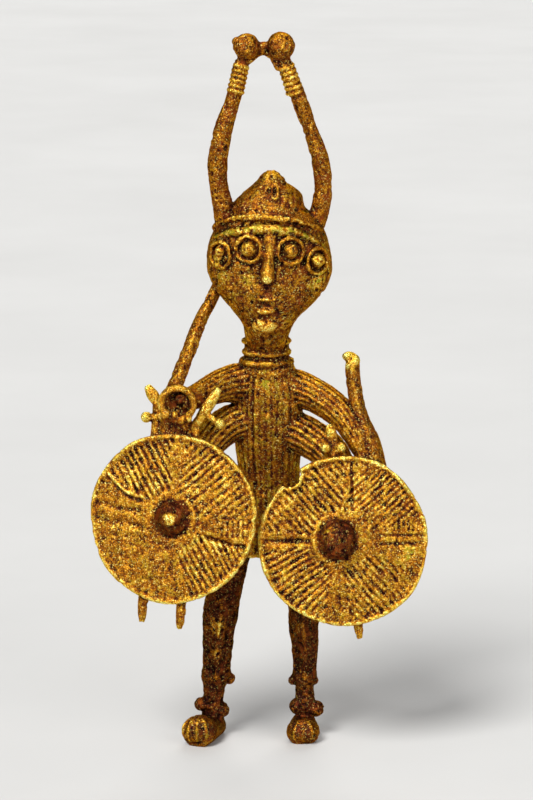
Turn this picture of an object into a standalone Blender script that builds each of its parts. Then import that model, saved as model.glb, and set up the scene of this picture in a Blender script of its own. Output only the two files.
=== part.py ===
"""Nuragic bronze figure: a four-eyed, four-armed warrior with two round shields, cast solid in one piece.

Sizes are in millimetres until finish() makes them metres. X runs to the viewer's right, -Y is the front
and +Z is up. The forms are laid out round the neck's axis, and the whole is then moved so that the origin
lies on the ground under the middle of its box.
"""

import math
from typing import NamedTuple

import bmesh
import bpy
from mathutils import Matrix, Vector

MM = 0.001
X_AXIS = Vector((1, 0, 0))
Y_AXIS = Vector((0, 1, 0))
Z_AXIS = Vector((0, 0, 1))

# Middle of the figure's box, across and front to back
BOX_CENTRE = (-1.911, -6.934)

# Heights above the soles
HEM_Z = 51.4
WAIST_Z = 72.0
SHOULDER_Z = 101.0
COLLAR_Z = 104.1
CHIN_Z = 114.8
MOUTH_Z = 120.8
NOSE_Z = 128.7
BROW_Z = 139.8
CREST_Z = 153.8
HORN_BALL_Z = 186.2

# Head and helmet
HEAD_X = 0.75
HEAD_ROLL = -4.0
BRIM_TILT = -25.0
EYE_RING = 3.9
EYE_BALL = 2.0

# Horns
HORN_BALL = 3.75
WRAP_LOW_Z = 174.5
WRAP_HIGH_Z = 180.5
WRAP_TURNS = 3
WRAP_RAISE = 0.4

# Neck and tunic
NECK_WIDTH = 5.9
NECK_DEPTH = 5.0
COLLAR_RINGS = ((103.4, 1.25), (105.9, 0.6), (108.8, 0.5))
RIB_DEPTH = 0.45
TUNIC_SIDES = 32
PANEL_HALF_ANGLE = math.radians(40)
BOXINESS = 2.6

# Shields
SHIELD_RADIUS = 22.1
SHIELD_THICK = 1.6
SHIELD_DOME = 1.1
SHIELD_TILT = 11.0
SHIELD_SIDES = 28
RIM_WIDTH = 0.95
RIM_RAISE = 0.35
RIM_SLOPE = 0.25
FIELD_INNER = 7.9
MOAT_WIDTH = 0.65
MOAT_DEPTH = 0.45
BORDER_WIDTH = 0.55
GROOVE_PITCH = 1.67
GROOVE_DEPTH = 0.45
BOSS_RADIUS = 5.1
WOBBLE = 0.25
BLADE_SINK = 0.35

# Legs
GREAVE_LOW_Z = 16.3
GREAVE_HIGH_Z = 38.0
ANKLE_KNOB = 2.0

BRONZE = (0.42, 0.29, 0.09)


class Shield(NamedTuple):
    """One shield: its place, the way it faces, its boss and the direction of the grooves in each quarter."""

    name: str
    centre: tuple
    yaw: float
    boss: tuple
    boss_height: float
    first_ray: float
    grooves: tuple


LEFT_SHIELD = Shield(
    name="left_shield",
    centre=(-24.2, -20.0, 66.0),
    yaw=-12.0,
    boss=(0.0, 0.4),
    boss_height=4.4,
    first_ray=-9.0,
    grooves=(40.0, 119.0, 60.0, 121.0),
)
RIGHT_SHIELD = Shield(
    name="right_shield",
    centre=(19.9, -20.0, 59.7),
    yaw=4.0,
    boss=(-2.1, 0.9),
    boss_height=4.0,
    first_ray=0.0,
    grooves=(44.0, 131.0, 36.0, 130.0),
)

# Head sections from the neck up to the helmet's peak: x, y, z, half width, half depth
HEAD_SECTIONS = (
    (0.3, -1.6, 106.5, 4.6, 4.2),
    (0.1, -3.0, 110.5, 5.6, 5.8),
    (0.5, -3.8, CHIN_Z - 0.8, 6.7, 7.0),
    (0.6, -3.2, 117.2, 9.2, 8.3),
    (HEAD_X, -2.0, 121.5, 13.2, 10.1),
    (HEAD_X, -0.8, 127.0, 16.3, 11.4),
    (HEAD_X, -0.4, 131.0, 16.4, 11.9),
    (HEAD_X, -0.2, 135.0, 15.8, 11.8),
    (HEAD_X, 0.1, 138.4, 14.2, 11.3),
    (HEAD_X, 0.2, 141.4, 12.7, 10.8),
    (0.6, 0.2, 144.4, 9.8, 8.7),
    (1.3, 0.2, 147.9, 7.6, 6.8),
    (1.2, 0.2, 150.8, 4.0, 4.2),
    (1.0, 0.2, CREST_Z, 1.2, 1.3),
)


def casting():
    """The collection of forms that are joined into the figure."""
    return bpy.data.collections["casting"]


def clear_scene():
    """Removes whatever the scene holds."""
    for thing in list(bpy.data.objects):
        bpy.data.objects.remove(thing)


def bronze_material():
    """Cast bronze with a dark golden patina."""
    material = bpy.data.materials.new("bronze")
    material.use_nodes = True
    shader = material.node_tree.nodes["Principled BSDF"]
    shader.inputs["Base Color"].default_value = (*BRONZE, 1)
    shader.inputs["Metallic"].default_value = 0.85
    shader.inputs["Roughness"].default_value = 0.5
    return material


def finish(bm, name, place=Matrix.Identity(4)):
    """Turns a closed mesh in millimetres into an object of the casting, faces outwards, and returns it."""
    centred = Matrix.Translation((-BOX_CENTRE[0], -BOX_CENTRE[1], 0))
    bmesh.ops.transform(bm, matrix=Matrix.Scale(MM, 4) @ centred @ place, verts=bm.verts)
    bmesh.ops.recalc_face_normals(bm, faces=bm.faces)
    mesh = bpy.data.meshes.new(name)
    bm.to_mesh(mesh)
    bm.free()
    made = bpy.data.objects.new(name, mesh)
    casting().objects.link(made)
    made.hide_render = True
    made.display_type = "WIRE"
    return made


def between(rows, steps):
    """Catmull-Rom values between rows of numbers, with the given steps to each span."""
    rows = [Vector(row) for row in rows]
    ends = [rows[0] * 2 - rows[1], *rows, rows[-1] * 2 - rows[-2]]
    found = []
    for i in range(len(rows) - 1):
        a, b, c, d = ends[i : i + 4]
        for k in range(steps):
            t = k / steps
            bend = (2 * a - 5 * b + 4 * c - d) * t**2 + (3 * b - a - 3 * c + d) * t**3
            found.append(0.5 * (2 * b + (c - a) * t + bend))
    found.append(rows[-1])
    return found


def section_frame(centre, along, across, half_width, half_depth):
    """Matrix from the unit circle to an ellipse square to along, with its width towards across."""
    normal = along.normalized()
    side = (across - normal * across.dot(normal)).normalized()
    frame = Matrix((side * half_width, normal.cross(side) * half_depth, normal)).transposed().to_4x4()
    frame.translation = centre
    return frame


def edges_among(parts, verts):
    """The edges in parts that run between two of verts."""
    ring = set(verts)
    return [part for part in parts if isinstance(part, bmesh.types.BMEdge) and set(part.verts) <= ring]


def loft(name, sections, sides, steps=1, along=None, across=X_AXIS, shape=None, place=Matrix.Identity(4)):
    """A closed form through elliptical sections, each x, y, z, half width and half depth.

    The sections stand square to the path, or to along where it is given. shape(angle, height) scales the
    radius, where the angle runs from across, and -90 degrees is the front of a form that runs upwards.
    """
    rows = between(sections, steps)
    centres = [Vector(row[:3]) for row in rows]
    frames = []
    for i, row in enumerate(rows):
        path = centres[min(i + 1, len(rows) - 1)] - centres[max(i - 1, 0)]
        frames.append(section_frame(centres[i], along or path, across, row[3], row[4]))
    bm = bmesh.new()
    bmesh.ops.create_circle(bm, segments=sides, radius=1.0, matrix=frames[0])
    rings = [list(bm.verts)]
    edges = list(bm.edges)
    bmesh.ops.contextual_create(bm, geom=edges)
    for before, after in zip(frames, frames[1:]):
        made = bmesh.ops.extrude_edge_only(bm, edges=edges)["geom"]
        rings.append([part for part in made if isinstance(part, bmesh.types.BMVert)])
        edges = edges_among(made, rings[-1])
        bmesh.ops.transform(bm, matrix=after @ before.inverted(), verts=rings[-1])
    bmesh.ops.contextual_create(bm, geom=edges)
    if shape:
        for frame, ring in zip(frames, rings):
            for vert in ring:
                local = frame.inverted() @ vert.co
                scale = shape(math.atan2(local.y, local.x), vert.co.z)
                vert.co = frame @ Vector((local.x * scale, local.y * scale, local.z))
    return finish(bm, name, place)


def tube(
    name, points, radii, sides=8, steps=2, flat=1.0, across=Z_AXIS, shape=None, place=Matrix.Identity(4)
):
    """A round bar through points, with a radius at each, and a depth of flat times its width."""
    sections = [(*point, radius, radius * flat) for point, radius in zip(points, radii)]
    return loft(name, sections, sides, steps, across=across, shape=shape, place=place)


def ball(name, centre, radii, sides=10, turn=Matrix.Identity(3), place=Matrix.Identity(4)):
    """An ellipsoid."""
    bm = bmesh.new()
    form = Matrix.Translation(centre) @ turn.to_4x4() @ Matrix.Diagonal((*radii, 1))
    rows = max(5, sides * 2 // 3)
    bmesh.ops.create_uvsphere(bm, u_segments=sides, v_segments=rows, radius=1.0, matrix=form)
    return finish(bm, name, place)


def turned(name, profile, sides, place):
    """A form turned round the +Z axis of its place, through radius and height pairs."""
    sections = [(0, 0, height, radius, radius) for radius, height in profile]
    return loft(name, sections, sides, along=Z_AXIS, place=place)


def facing(direction):
    """Rotation that turns +Z towards direction and keeps +Y as near upright as it can."""
    out = direction.normalized()
    right = Z_AXIS.cross(out).normalized()
    return Matrix((right, out.cross(right), out)).transposed()


def hoop(name, centre, turn, radii, wire, around=16, sides=5):
    """A closed ring of round wire, elliptical in its own plane."""
    bm = bmesh.new()
    start = 2 * wire
    circle = Matrix.Translation((start, 0, 0)) @ Matrix.Rotation(math.pi / 2, 4, "X")
    bmesh.ops.create_circle(bm, segments=sides, radius=wire, matrix=circle)
    geom = bm.verts[:] + bm.edges[:]
    bmesh.ops.spin(
        bm, geom=geom, axis=Z_AXIS, cent=(0, 0, 0), angle=math.tau, steps=around, use_merge=True
    )
    for vert in bm.verts:
        rim = Vector((vert.co.x, vert.co.y, 0)).normalized()
        vert.co += Vector((rim.x * (radii[0] - start), rim.y * (radii[1] - start), 0))
    return finish(bm, name, Matrix.Translation(centre) @ turn.to_4x4())


def head_point(x, z):
    """The point on the front of the head at x and z, and the way that the surface faces there."""
    for low, high in zip(HEAD_SECTIONS, HEAD_SECTIONS[1:]):
        if low[2] <= z <= high[2]:
            centre_x, centre_y, _, half_width, half_depth = Vector(low).lerp(
                Vector(high), (z - low[2]) / (high[2] - low[2])
            )
    side = (x - centre_x) / half_width
    y = centre_y - half_depth * math.sqrt(1 - side * side)
    return Vector((x, y, z)), Vector((side / half_width, (y - centre_y) / half_depth**2, 0)).normalized()


def make_head():
    """Pear-shaped head in a pointed cap: brow and nose as a T, four ringed eyes, lips and a chin knob."""
    loft("head", HEAD_SECTIONS, 20, along=Z_AXIS)
    eyes = {
        "inner_left": (-4.5, 135.0),
        "inner_right": (6.1, 134.5),
        "outer_left": (-11.6, 132.9),
        "outer_right": (12.9, 131.4),
    }
    for name, (x, z) in eyes.items():
        surface, out = head_point(x, z)
        place = Matrix.Translation(surface) @ facing(out).to_4x4()
        profile = (
            (EYE_RING, -1.2),
            (EYE_RING, 0.45),
            (EYE_RING - 0.6, 0.85),
            (EYE_BALL + 0.35, 0.0),
            (EYE_BALL, 0.5),
            (EYE_BALL * 0.5, 1.35),
        )
        turned(f"eye_{name}", profile, 10, place)
    left_brow = [(-13.6, 136.6), (-9.0, 138.6), (-4.0, 139.7), (0.9, 140.0)]
    right_brow = [(5.6, 139.3), (10.0, 137.8), (14.2, 135.0)]
    points = [head_point(x, z)[0] for x, z in left_brow + right_brow]
    tube("brow", points, [0.7, 1.1, 1.3, 1.4, 1.3, 1.1, 0.7], 6, 1)
    nose = (
        (0.9, -10.9, BROW_Z + 0.4, 1.4, 0.7),
        (0.8, -12.0, 136.2, 1.4, 1.3),
        (0.5, -12.8, 131.6, 1.5, 1.7),
        (0.3, -13.6, NOSE_Z + 0.4, 1.9, 2.1),
        (0.3, -13.2, NOSE_Z - 2.0, 1.6, 1.7),
        (0.3, -12.2, NOSE_Z - 2.9, 0.8, 0.9),
    )
    loft("nose", nose, 8, along=Z_AXIS)
    ball("upper_lip", (0.1, -12.2, MOUTH_Z + 1.1), (2.3, 1.0, 0.6), 7)
    ball("lower_lip", (-0.1, -11.8, MOUTH_Z - 1.9), (2.4, 1.2, 1.0), 7)
    ball("chin_knob", (-0.6, -10.2, CHIN_Z), (3.3, 2.0, 2.2), 8)


def make_helmet():
    """The cap's banded brim and the slotted tab below its peak."""
    roll = Matrix.Rotation(math.radians(-HEAD_ROLL), 3, "Y")
    turn = roll @ Matrix.Rotation(math.radians(BRIM_TILT), 3, "X")
    hoop("brim", (HEAD_X, 0.5, 137.6), turn, (14.5, 12.65), 0.65, around=16, sides=4)
    tab_turn = Matrix.Rotation(math.radians(-32), 3, "X") @ Matrix.Rotation(math.pi / 2, 3, "X")
    hoop("helmet_tab", (2.1, -6.0, 149.0), tab_turn, (0.75, 2.2), 0.5, around=10, sides=4)


def make_horn(name, path, wrap_low, wrap_high, neck):
    """One horn, from its root in the cap to the neck under its ball, with wire wound round it at the top."""
    low, high = Vector(wrap_low), Vector(wrap_high)
    rows = [*path]
    for half_turn in range(2 * WRAP_TURNS + 1):
        x, y, z, radius = low.lerp(high, half_turn / (2 * WRAP_TURNS))
        rows.append((x, y, z, radius + WRAP_RAISE * (half_turn % 2)))
    rows.append(neck)
    tube(name, [row[:3] for row in rows], [row[3] for row in rows], 8, 1, across=Y_AXIS)


def make_horns():
    """Two long horns that bow outwards and meet at their balls, which a web of metal joins."""
    left = (
        (-9.4, 0.2, 137.5, 3.1),
        (-11.0, -0.6, 143.0, 2.9),
        (-12.4, -1.0, 150.0, 2.65),
        (-12.55, -1.6, 157.5, 2.75),
        (-11.0, -2.2, 165.0, 2.45),
        (-9.2, -2.6, 170.7, 2.2),
    )
    right = (
        (11.5, 0.2, 137.5, 2.8),
        (13.7, -0.6, 143.0, 2.6),
        (14.7, -1.0, 150.0, 2.5),
        (13.7, -1.6, 157.5, 2.4),
        (11.1, -2.2, 165.0, 1.95),
        (9.1, -2.6, 170.7, 2.1),
    )
    left_wrap = ((-8.0, -2.9, WRAP_LOW_Z, 2.0), (-6.7, -3.0, WRAP_HIGH_Z, 1.9))
    right_wrap = ((7.6, -2.9, WRAP_LOW_Z, 2.1), (5.2, -3.0, WRAP_HIGH_Z, 1.9))
    make_horn("left_horn", left, *left_wrap, (-5.5, -3.0, 184.0, 1.6))
    make_horn("right_horn", right, *right_wrap, (4.1, -3.0, 184.0, 1.6))
    ball("left_horn_ball", (-5.2, -3.0, HORN_BALL_Z - 0.2), (HORN_BALL - 0.15,) * 3, 10)
    ball("right_horn_ball", (3.75, -3.0, HORN_BALL_Z), (HORN_BALL,) * 3, 10)
    ball("horn_web", (-0.8, -2.8, HORN_BALL_Z - 0.6), (2.0, 1.4, 1.8), 6)


def tunic_shape(angle, _height):
    """Boxy section whose sides and back are ribbed, with a smooth panel in front."""
    boxy = (abs(math.cos(angle)) ** BOXINESS + abs(math.sin(angle)) ** BOXINESS) ** (-1 / BOXINESS)
    in_panel = abs(angle + math.pi / 2) < PANEL_HALF_ANGLE
    groove = round(angle * TUNIC_SIDES / math.tau) % 2 and not in_panel
    return boxy * (1 - RIB_DEPTH / 7.5 * groove)


def make_body():
    """Ribbed tunic from the hem to the shoulders, and the ringed neck."""
    tunic = (
        (0.2, 0.4, HEM_Z, 12.6, 7.2),
        (0.6, 0.2, 62.0, 9.1, 6.2),
        (0.7, 0.0, WAIST_Z, 8.2, 5.3),
        (0.4, -0.3, 82.0, 8.9, 5.8),
        (0.45, -0.4, 96.0, 9.1, 5.9),
        (0.2, -0.2, SHOULDER_Z + 1.6, 6.6, 4.7),
        (0.1, 0.0, COLLAR_Z, 4.8, 3.8),
    )
    loft("tunic", tunic, TUNIC_SIDES, along=Z_AXIS, shape=tunic_shape)
    neck = [(0.0, -0.2, 98.0, 5.0, 4.0)]
    for height, spread in COLLAR_RINGS:
        neck.append((0.0, -0.3, height - 1.0, NECK_WIDTH, NECK_DEPTH))
        neck.append((0.0, -0.3, height, NECK_WIDTH + spread, NECK_DEPTH + spread))
    neck += [(0.1, -0.6, 109.8, NECK_WIDTH - 0.2, NECK_DEPTH - 0.2), (0.4, -1.6, CHIN_Z, 5.0, 4.6)]
    loft("neck", neck, 12, along=Z_AXIS)
    front = [(-3.6, -4.9, 101.3), (0.3, -5.7, 100.9), (4.2, -4.9, 101.3)]
    neckline = [(-6.6, -2.4, 102.0), *front, (7.2, -2.4, 102.0)]
    tube("neckline", neckline, (0.6, 0.7, 0.8, 0.7, 0.6), 5, 1)


def corded(angle, _height):
    """Lengthwise ridges round a sleeve."""
    return 1 + 0.07 * math.cos(5 * angle)


def make_arms():
    """Four arms from the shoulders: the upper pair to the swords and the lower pair to the shields' backs.

    The left fist is a ring round the sword's pommel, and its wrist leans on the shield's top edge.
    """
    upper_left = ((-5.5, 0.2, 97.0), (-11.5, -3.4, 97.1), (-17.2, -9.6, 96.0), (-21.6, -14.2, 95.6))
    upper_right = (
        (7.0, 0.2, 96.6),
        (14.4, -3.2, 94.6),
        (20.2, -7.2, 90.8),
        (23.4, -10.2, 85.6),
        (25.8, -12.0, 80.2),
    )
    lower_left = (
        (-4.5, 0.0, 87.6),
        (-11.0, -3.4, 86.2),
        (-17.4, -8.6, 80.4),
        (-22.4, -14.2, 71.6),
        (-24.2, -18.6, 67.0),
    )
    lower_right = (
        (5.8, 0.1, 84.8),
        (12.0, -3.6, 82.9),
        (17.8, -8.8, 79.0),
        (20.2, -14.0, 71.0),
        (18.4, -18.4, 62.4),
    )
    tube("upper_left_arm", upper_left, (5.4, 4.3, 3.4, 2.6), 10, 1, shape=corded)
    tube("upper_right_arm", upper_right, (4.9, 4.4, 4.1, 3.4, 2.7), 10, 1, shape=corded)
    tube("lower_left_arm", lower_left, (4.9, 4.7, 4.0, 2.9, 2.8), 10, 1, shape=corded)
    tube("lower_right_arm", lower_right, (5.3, 5.1, 4.5, 3.6, 2.8), 10, 1, shape=corded)
    clenched = (
        (2.6, -3.2),
        (4.4, -1.8),
        (5.1, 0.2),
        (4.8, 1.3),
        (4.1, 1.6),
        (3.4, 0.0),
        (1.9, -0.5),
        (1.0, 1.2),
    )
    turned("left_fist", clenched, 10, Matrix.Translation((-23.0, -16.0, 95.4)) @ facing(-Y_AXIS).to_4x4())
    wrist = ((-23.3, -13.6, 94.0), (-23.5, -13.0, 89.5), (-23.7, -13.2, 85.2))
    tube("left_wrist", wrist, (3.0, 4.3, 3.8), 8, 1, flat=0.6, across=X_AXIS)
    ball("right_fist", (26.6, -12.2, 79.0), (3.1, 2.8, 3.3), 8)


def make_swords():
    """The left sword leans back against the cheek. The right one is broken off short above the hand."""
    left = (
        (-24.2, -13.6, 97.6),
        (-20.2, -8.2, 107.2),
        (-17.1, -2.6, 114.6),
        (-14.4, 0.6, 119.6),
        (-11.2, 4.0, 126.0),
    )
    tube("left_sword", left, (2.0, 2.0, 1.9, 1.8, 1.5), 6, 1, flat=0.75, across=X_AXIS)
    right = (
        (28.6, -12.0, 76.8),
        (27.2, -11.4, 83.4),
        (24.3, -9.0, 91.0),
        (22.7, -7.0, 99.5),
        (22.4, -6.2, 105.4),
    )
    tube("right_sword", right, (2.9, 2.6, 2.2, 2.0, 1.8), 8, 1, across=X_AXIS)
    ball("right_sword_break", (21.5, -6.2, 105.9), (1.9, 1.4, 1.3), 8)


def shield_frame(shield):
    """Matrix from a shield's own frame, with +Z out of its face, to the figure's."""
    tilt, yaw = math.radians(SHIELD_TILT), math.radians(shield.yaw)
    out = Vector((math.sin(yaw) * math.cos(tilt), -math.cos(yaw) * math.cos(tilt), math.sin(tilt)))
    return Matrix.Translation(shield.centre) @ facing(out).to_4x4()


def carve_quarter(bm, face, direction, centre):
    """Cuts parallel grooves across a face: strips at half the pitch, every second line sunk."""
    across = Vector((-math.sin(math.radians(direction)), math.cos(math.radians(direction)), 0))
    places = [(vert.co - centre).dot(across) for vert in face.verts]
    step = GROOVE_PITCH / 2
    first, last = math.ceil(min(places) / step), math.floor(max(places) / step)
    faces = [face]
    for line in range(first, last + 1):
        geom = list({part for one in faces for part in (one, *one.edges, *one.verts)})
        plane = centre + across * (line * step)
        cut = bmesh.ops.bisect_plane(bm, geom=geom, plane_co=plane, plane_no=across, dist=1e-5)
        faces = [part for part in cut["geom"] if isinstance(part, bmesh.types.BMFace)]
        if line % 2:
            for vert in (part for part in cut["geom_cut"] if isinstance(part, bmesh.types.BMVert)):
                vert.co.z = -GROOVE_DEPTH


def shield_disc(shield):
    """The shield's plate in its own frame: rim, four carved quarters between raised rays, and the moat."""
    rim = SHIELD_RADIUS
    boss = Vector((*shield.boss, 0))
    rings = [
        (rim - 0.4, -SHIELD_THICK, 0),
        (rim, -SHIELD_THICK / 2, 0),
        (rim - RIM_SLOPE, RIM_RAISE, 0),
        (rim - RIM_WIDTH, RIM_RAISE, 0),
        (rim - RIM_WIDTH - RIM_SLOPE, 0.0, 0),
        (FIELD_INNER, 0.0, 1),
        (FIELD_INNER - MOAT_WIDTH, -MOAT_DEPTH, 1),
        (FIELD_INNER - 2 * MOAT_WIDTH, 0.0, 1),
    ]
    sections = [(*(boss * share).xy, height, radius, radius) for radius, height, share in rings]
    bm = bmesh.new()
    frames = [section_frame(Vector(row[:3]), Z_AXIS, X_AXIS, row[3], row[4]) for row in sections]
    bmesh.ops.create_circle(bm, segments=SHIELD_SIDES, radius=1.0, matrix=frames[0])
    edges = list(bm.edges)
    bmesh.ops.contextual_create(bm, geom=edges)
    field = []
    for before, after in zip(frames, frames[1:]):
        made = bmesh.ops.extrude_edge_only(bm, edges=edges)["geom"]
        verts = [part for part in made if isinstance(part, bmesh.types.BMVert)]
        edges = edges_among(made, verts)
        bmesh.ops.transform(bm, matrix=after @ before.inverted(), verts=verts)
        if after is frames[5]:
            field = [part for part in made if isinstance(part, bmesh.types.BMFace)]
    bmesh.ops.contextual_create(bm, geom=edges)
    quarters = [[], [], [], []]
    for face in field:
        middle = face.calc_center_median() - boss * 0.5
        turned = math.degrees(math.atan2(middle.y, middle.x)) - shield.first_ray
        quarters[int(turned % 360 // 90)].append(face)
    carved = [bmesh.ops.dissolve_faces(bm, faces=faces)["region"][0] for faces in quarters]
    bmesh.ops.inset_individual(bm, faces=carved, thickness=BORDER_WIDTH, use_even_offset=True)
    for face, direction in zip(carved, shield.grooves):
        carve_quarter(bm, face, direction, boss)
    bmesh.ops.triangulate(bm, faces=bm.faces)
    for vert in bm.verts:
        reach = vert.co.xy.length / rim
        turn = math.atan2(vert.co.y, vert.co.x)
        waves = math.sin(3 * turn + shield.yaw) + 0.5 * math.sin(7 * turn)
        vert.co.xy *= 1 + WOBBLE / rim * reach**4 * waves
        if vert.co.z > -SHIELD_THICK / 2 + 0.1:
            vert.co.z += SHIELD_DOME * (1 - min(reach, 1) ** 2)
    return finish(bm, shield.name, shield_frame(shield))


def make_boss(shield):
    """Blunt cone at the middle of a shield."""
    x, y = shield.boss
    top = shield.boss_height + SHIELD_DOME
    shares = ((1.0, 0.05), (0.95, 0.42), (0.7, 0.75), (0.2, 1.0))
    profile = [(BOSS_RADIUS * width, top * height) for width, height in shares]
    turned(f"{shield.name}_boss", profile, 16, shield_frame(shield) @ Matrix.Translation((x, y, 0)))


def make_shields():
    """Both shields with their bosses. The right one has lost a piece of its rim."""
    shield_disc(LEFT_SHIELD)
    damaged = shield_disc(RIGHT_SHIELD)
    make_boss(LEFT_SHIELD)
    make_boss(RIGHT_SHIELD)
    turn = math.radians(130)
    centre = Vector((math.cos(turn), math.sin(turn), 0)) * (SHIELD_RADIUS + 1.2)
    radii = (3.9, 4.6, 6.0)
    chip = ball("rim_chip", centre, radii, 7, Matrix.Rotation(turn, 3, "Z"), shield_frame(RIGHT_SHIELD))
    casting().objects.unlink(chip)
    bpy.context.scene.collection.objects.link(chip)
    cut = damaged.modifiers.new("chipped rim", "BOOLEAN")
    cut.operation = "DIFFERENCE"
    cut.object = chip


def make_spare_sword(name, shield, grip, tip, lobe, knobs):
    """A sword cast against the back of a shield: lobed pommel, knobbed guard and a tip below the rim."""
    place = shield_frame(shield)
    depth = -SHIELD_THICK - 0.9 + BLADE_SINK
    top, low = Vector((*grip, depth)), Vector((*tip, depth))
    rim_top = top.lerp(low, 0.14)
    rim_low = top.lerp(low, 0.86)
    blade = (low, rim_low, rim_top, top)
    tube(name, blade, (0.7, 1.15, 1.35, 1.25), 6, 1, flat=0.75, across=X_AXIS, place=place)
    end = Vector((*lobe, depth))
    leaf = (top.lerp(end, -0.3), top.lerp(end, 0.5), end)
    tube(f"{name}_lobe", leaf, (0.9, 1.45, 1.0), 6, 1, across=X_AXIS, place=place)
    for count, (root, end) in enumerate(knobs):
        stem, knob = Vector((*root, depth)), Vector((*end, depth + 0.4))
        ball(f"{name}_knob_{count}", knob, (1.5, 1.5, 1.45), 6, place=place)
        tube(f"{name}_guard_{count}", (stem, knob), (0.8, 0.9), 5, 1, across=Z_AXIS, place=place)


def make_spare_swords():
    """Two spare swords behind the left shield and one behind the right."""
    outer_knobs = (((-5.6, 25.8), (-8.4, 25.8)), ((-5.6, 26.2), (-3.9, 26.2)))
    inner_knobs = (((6.6, 27.8), (11.3, 25.0)),)
    right_knobs = (((-2.1, 24.3), (-4.3, 24.3)), ((-2.1, 24.3), (-0.5, 24.3)))
    make_spare_sword("outer_spare", LEFT_SHIELD, (-5.5, 29.5), (-7.6, -27.0), (-8.4, 33.6), outer_knobs)
    make_spare_sword("inner_spare", LEFT_SHIELD, (4.8, 24.4), (2.6, -28.3), (10.4, 33.6), inner_knobs)
    make_spare_sword("right_spare", RIGHT_SHIELD, (-2.4, 26.4), (4.0, -25.0), (-3.3, 30.0), right_knobs)


def make_leg(name, path, slim, knobs, greave_knobs):
    """One leg under the tunic: thigh, greave with a shin ridge and a knobbed band, and the ankle's knobs.

    path gives the leg's axis from the hip down to the sole, and slim scales its width.
    """
    girths = (
        (HEM_Z + 4.0, 5.2, 5.0),
        (GREAVE_HIGH_Z, 4.65, 4.6),
        (33.0, 4.7, 4.6),
        (28.0, 4.35, 4.4),
        (18.2, 3.8, 3.9),
        (GREAVE_LOW_Z + 0.8, 4.2, 4.2),
        (GREAVE_LOW_Z - 0.8, 4.1, 4.1),
        (14.2, 2.95, 3.1),
        (8.0, 2.9, 3.0),
        (3.0, 3.1, 3.2),
    )
    sections = []
    shin = []
    for z, half_width, half_depth in reversed(girths):
        for low, high in zip(path, path[1:]):
            if low[2] <= z <= high[2]:
                x, y, _ = Vector(low).lerp(Vector(high), (z - low[2]) / (high[2] - low[2]))
        sections.append((x, y, z, half_width * slim, half_depth))
        if GREAVE_LOW_Z <= z <= GREAVE_HIGH_Z:
            shin.append((x, y - half_depth + 0.3, z))
    loft(name, sections, 10, along=Z_AXIS)
    tube(f"{name}_shin", shin, [0.85] * len(shin), 5, 1, across=X_AXIS)
    for count, centre in enumerate(knobs):
        ball(f"{name}_ankle_knob_{count}", centre, (ANKLE_KNOB,) * 3, 7)
    for count, centre in enumerate(greave_knobs):
        ball(f"{name}_greave_knob_{count}", centre, (1.3, 1.3, 1.35), 6)


def make_foot(name, heel, toe, half_width, rise, toes):
    """A short foot with a flat sole, from heel to toe on the ground, and its toes as low ridges.

    rise is half the height of its blunt front.
    """
    back, front = Vector((*heel, 0)), Vector((*toe, 0))
    along = (front - back).normalized()
    side = along.cross(Z_AXIS)
    profile = (
        (0.0, 0.55, 2.4),
        (0.14, 0.72, 3.4),
        (0.45, 0.86, 3.7),
        (0.72, 1.0, rise),
        (0.92, 0.94, rise * 0.9),
        (1.0, 0.7, rise * 0.6),
    )
    sections = []
    for share, width, height in profile:
        centre = back.lerp(front, share)
        sections.append((centre.x, centre.y, height * 0.8, half_width * width, height))
    sole = loft(name, sections, 12, along=along, across=side)
    for vert in sole.data.vertices:
        vert.co.z = max(vert.co.z, 0)
    for count in range(toes):
        spread = (count - (toes - 1) / 2) * 2 * half_width / toes * 0.88
        tip = front + side * spread - along * (0.3 + 0.1 * spread**2)
        root = tip - along * 1.7
        points = (
            Vector((*root.xy, rise * 1.6)),
            Vector((*root.lerp(tip, 0.75).xy, rise * 1.1)),
            Vector((*tip.xy, rise * 0.5)),
        )
        tube(f"{name}_toe_{count}", points, (0.7, 0.8, 0.75), 6, 1, across=side)


def make_legs():
    """Straddled legs. The left foot turns outwards and the right one points forwards."""
    left = (
        (-14.6, 0.4, 2.0),
        (-14.5, -0.1, 12.0),
        (-13.6, -0.2, 17.0),
        (-13.0, -0.6, 27.0),
        (-12.1, -0.9, 36.0),
        (-11.3, -0.7, 41.0),
        (-9.4, -0.3, 48.0),
        (-7.6, 0.2, HEM_Z + 6.0),
    )
    right = (
        (10.3, 0.4, 2.0),
        (10.3, -0.2, 17.0),
        (10.2, -0.6, 28.0),
        (9.8, -0.9, 35.0),
        (8.0, 0.2, HEM_Z + 6.0),
    )
    left_knobs = ((-17.6, -0.8, 9.2), (-12.1, -0.4, 7.6))
    right_knobs = ((8.1, -0.8, 8.5), (13.2, -0.8, 7.9))
    make_leg("left_leg", left, 1.0, left_knobs, ((-9.8, -0.6, 16.2),))
    make_leg("right_leg", right, 0.8, right_knobs, ((7.1, -0.8, 15.9), (12.9, -0.8, 15.8)))
    make_foot("left_foot", (-13.2, 3.2), (-18.9, -9.2), 4.5, 3.9, 4)
    make_foot("right_foot", (9.9, 3.4), (9.8, -7.4), 4.5, 3.2, 0)


def cast_in_one():
    """The single solid: every form of the casting joined into one."""
    core = casting().objects["tunic"]
    figure = bpy.data.objects.new("bronze_figure", core.data)
    bpy.data.objects.remove(core)
    bpy.context.scene.collection.objects.link(figure)
    join = figure.modifiers.new("cast in one", "BOOLEAN")
    join.operation = "UNION"
    join.operand_type = "COLLECTION"
    join.collection = casting()
    figure.data.materials.append(bronze_material())


def main():
    """Builds the figure."""
    clear_scene()
    bpy.context.scene.collection.children.link(bpy.data.collections.new("casting"))
    make_head()
    make_helmet()
    make_horns()
    make_body()
    make_arms()
    make_swords()
    make_shields()
    make_spare_swords()
    make_legs()
    cast_in_one()


main()
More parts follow.
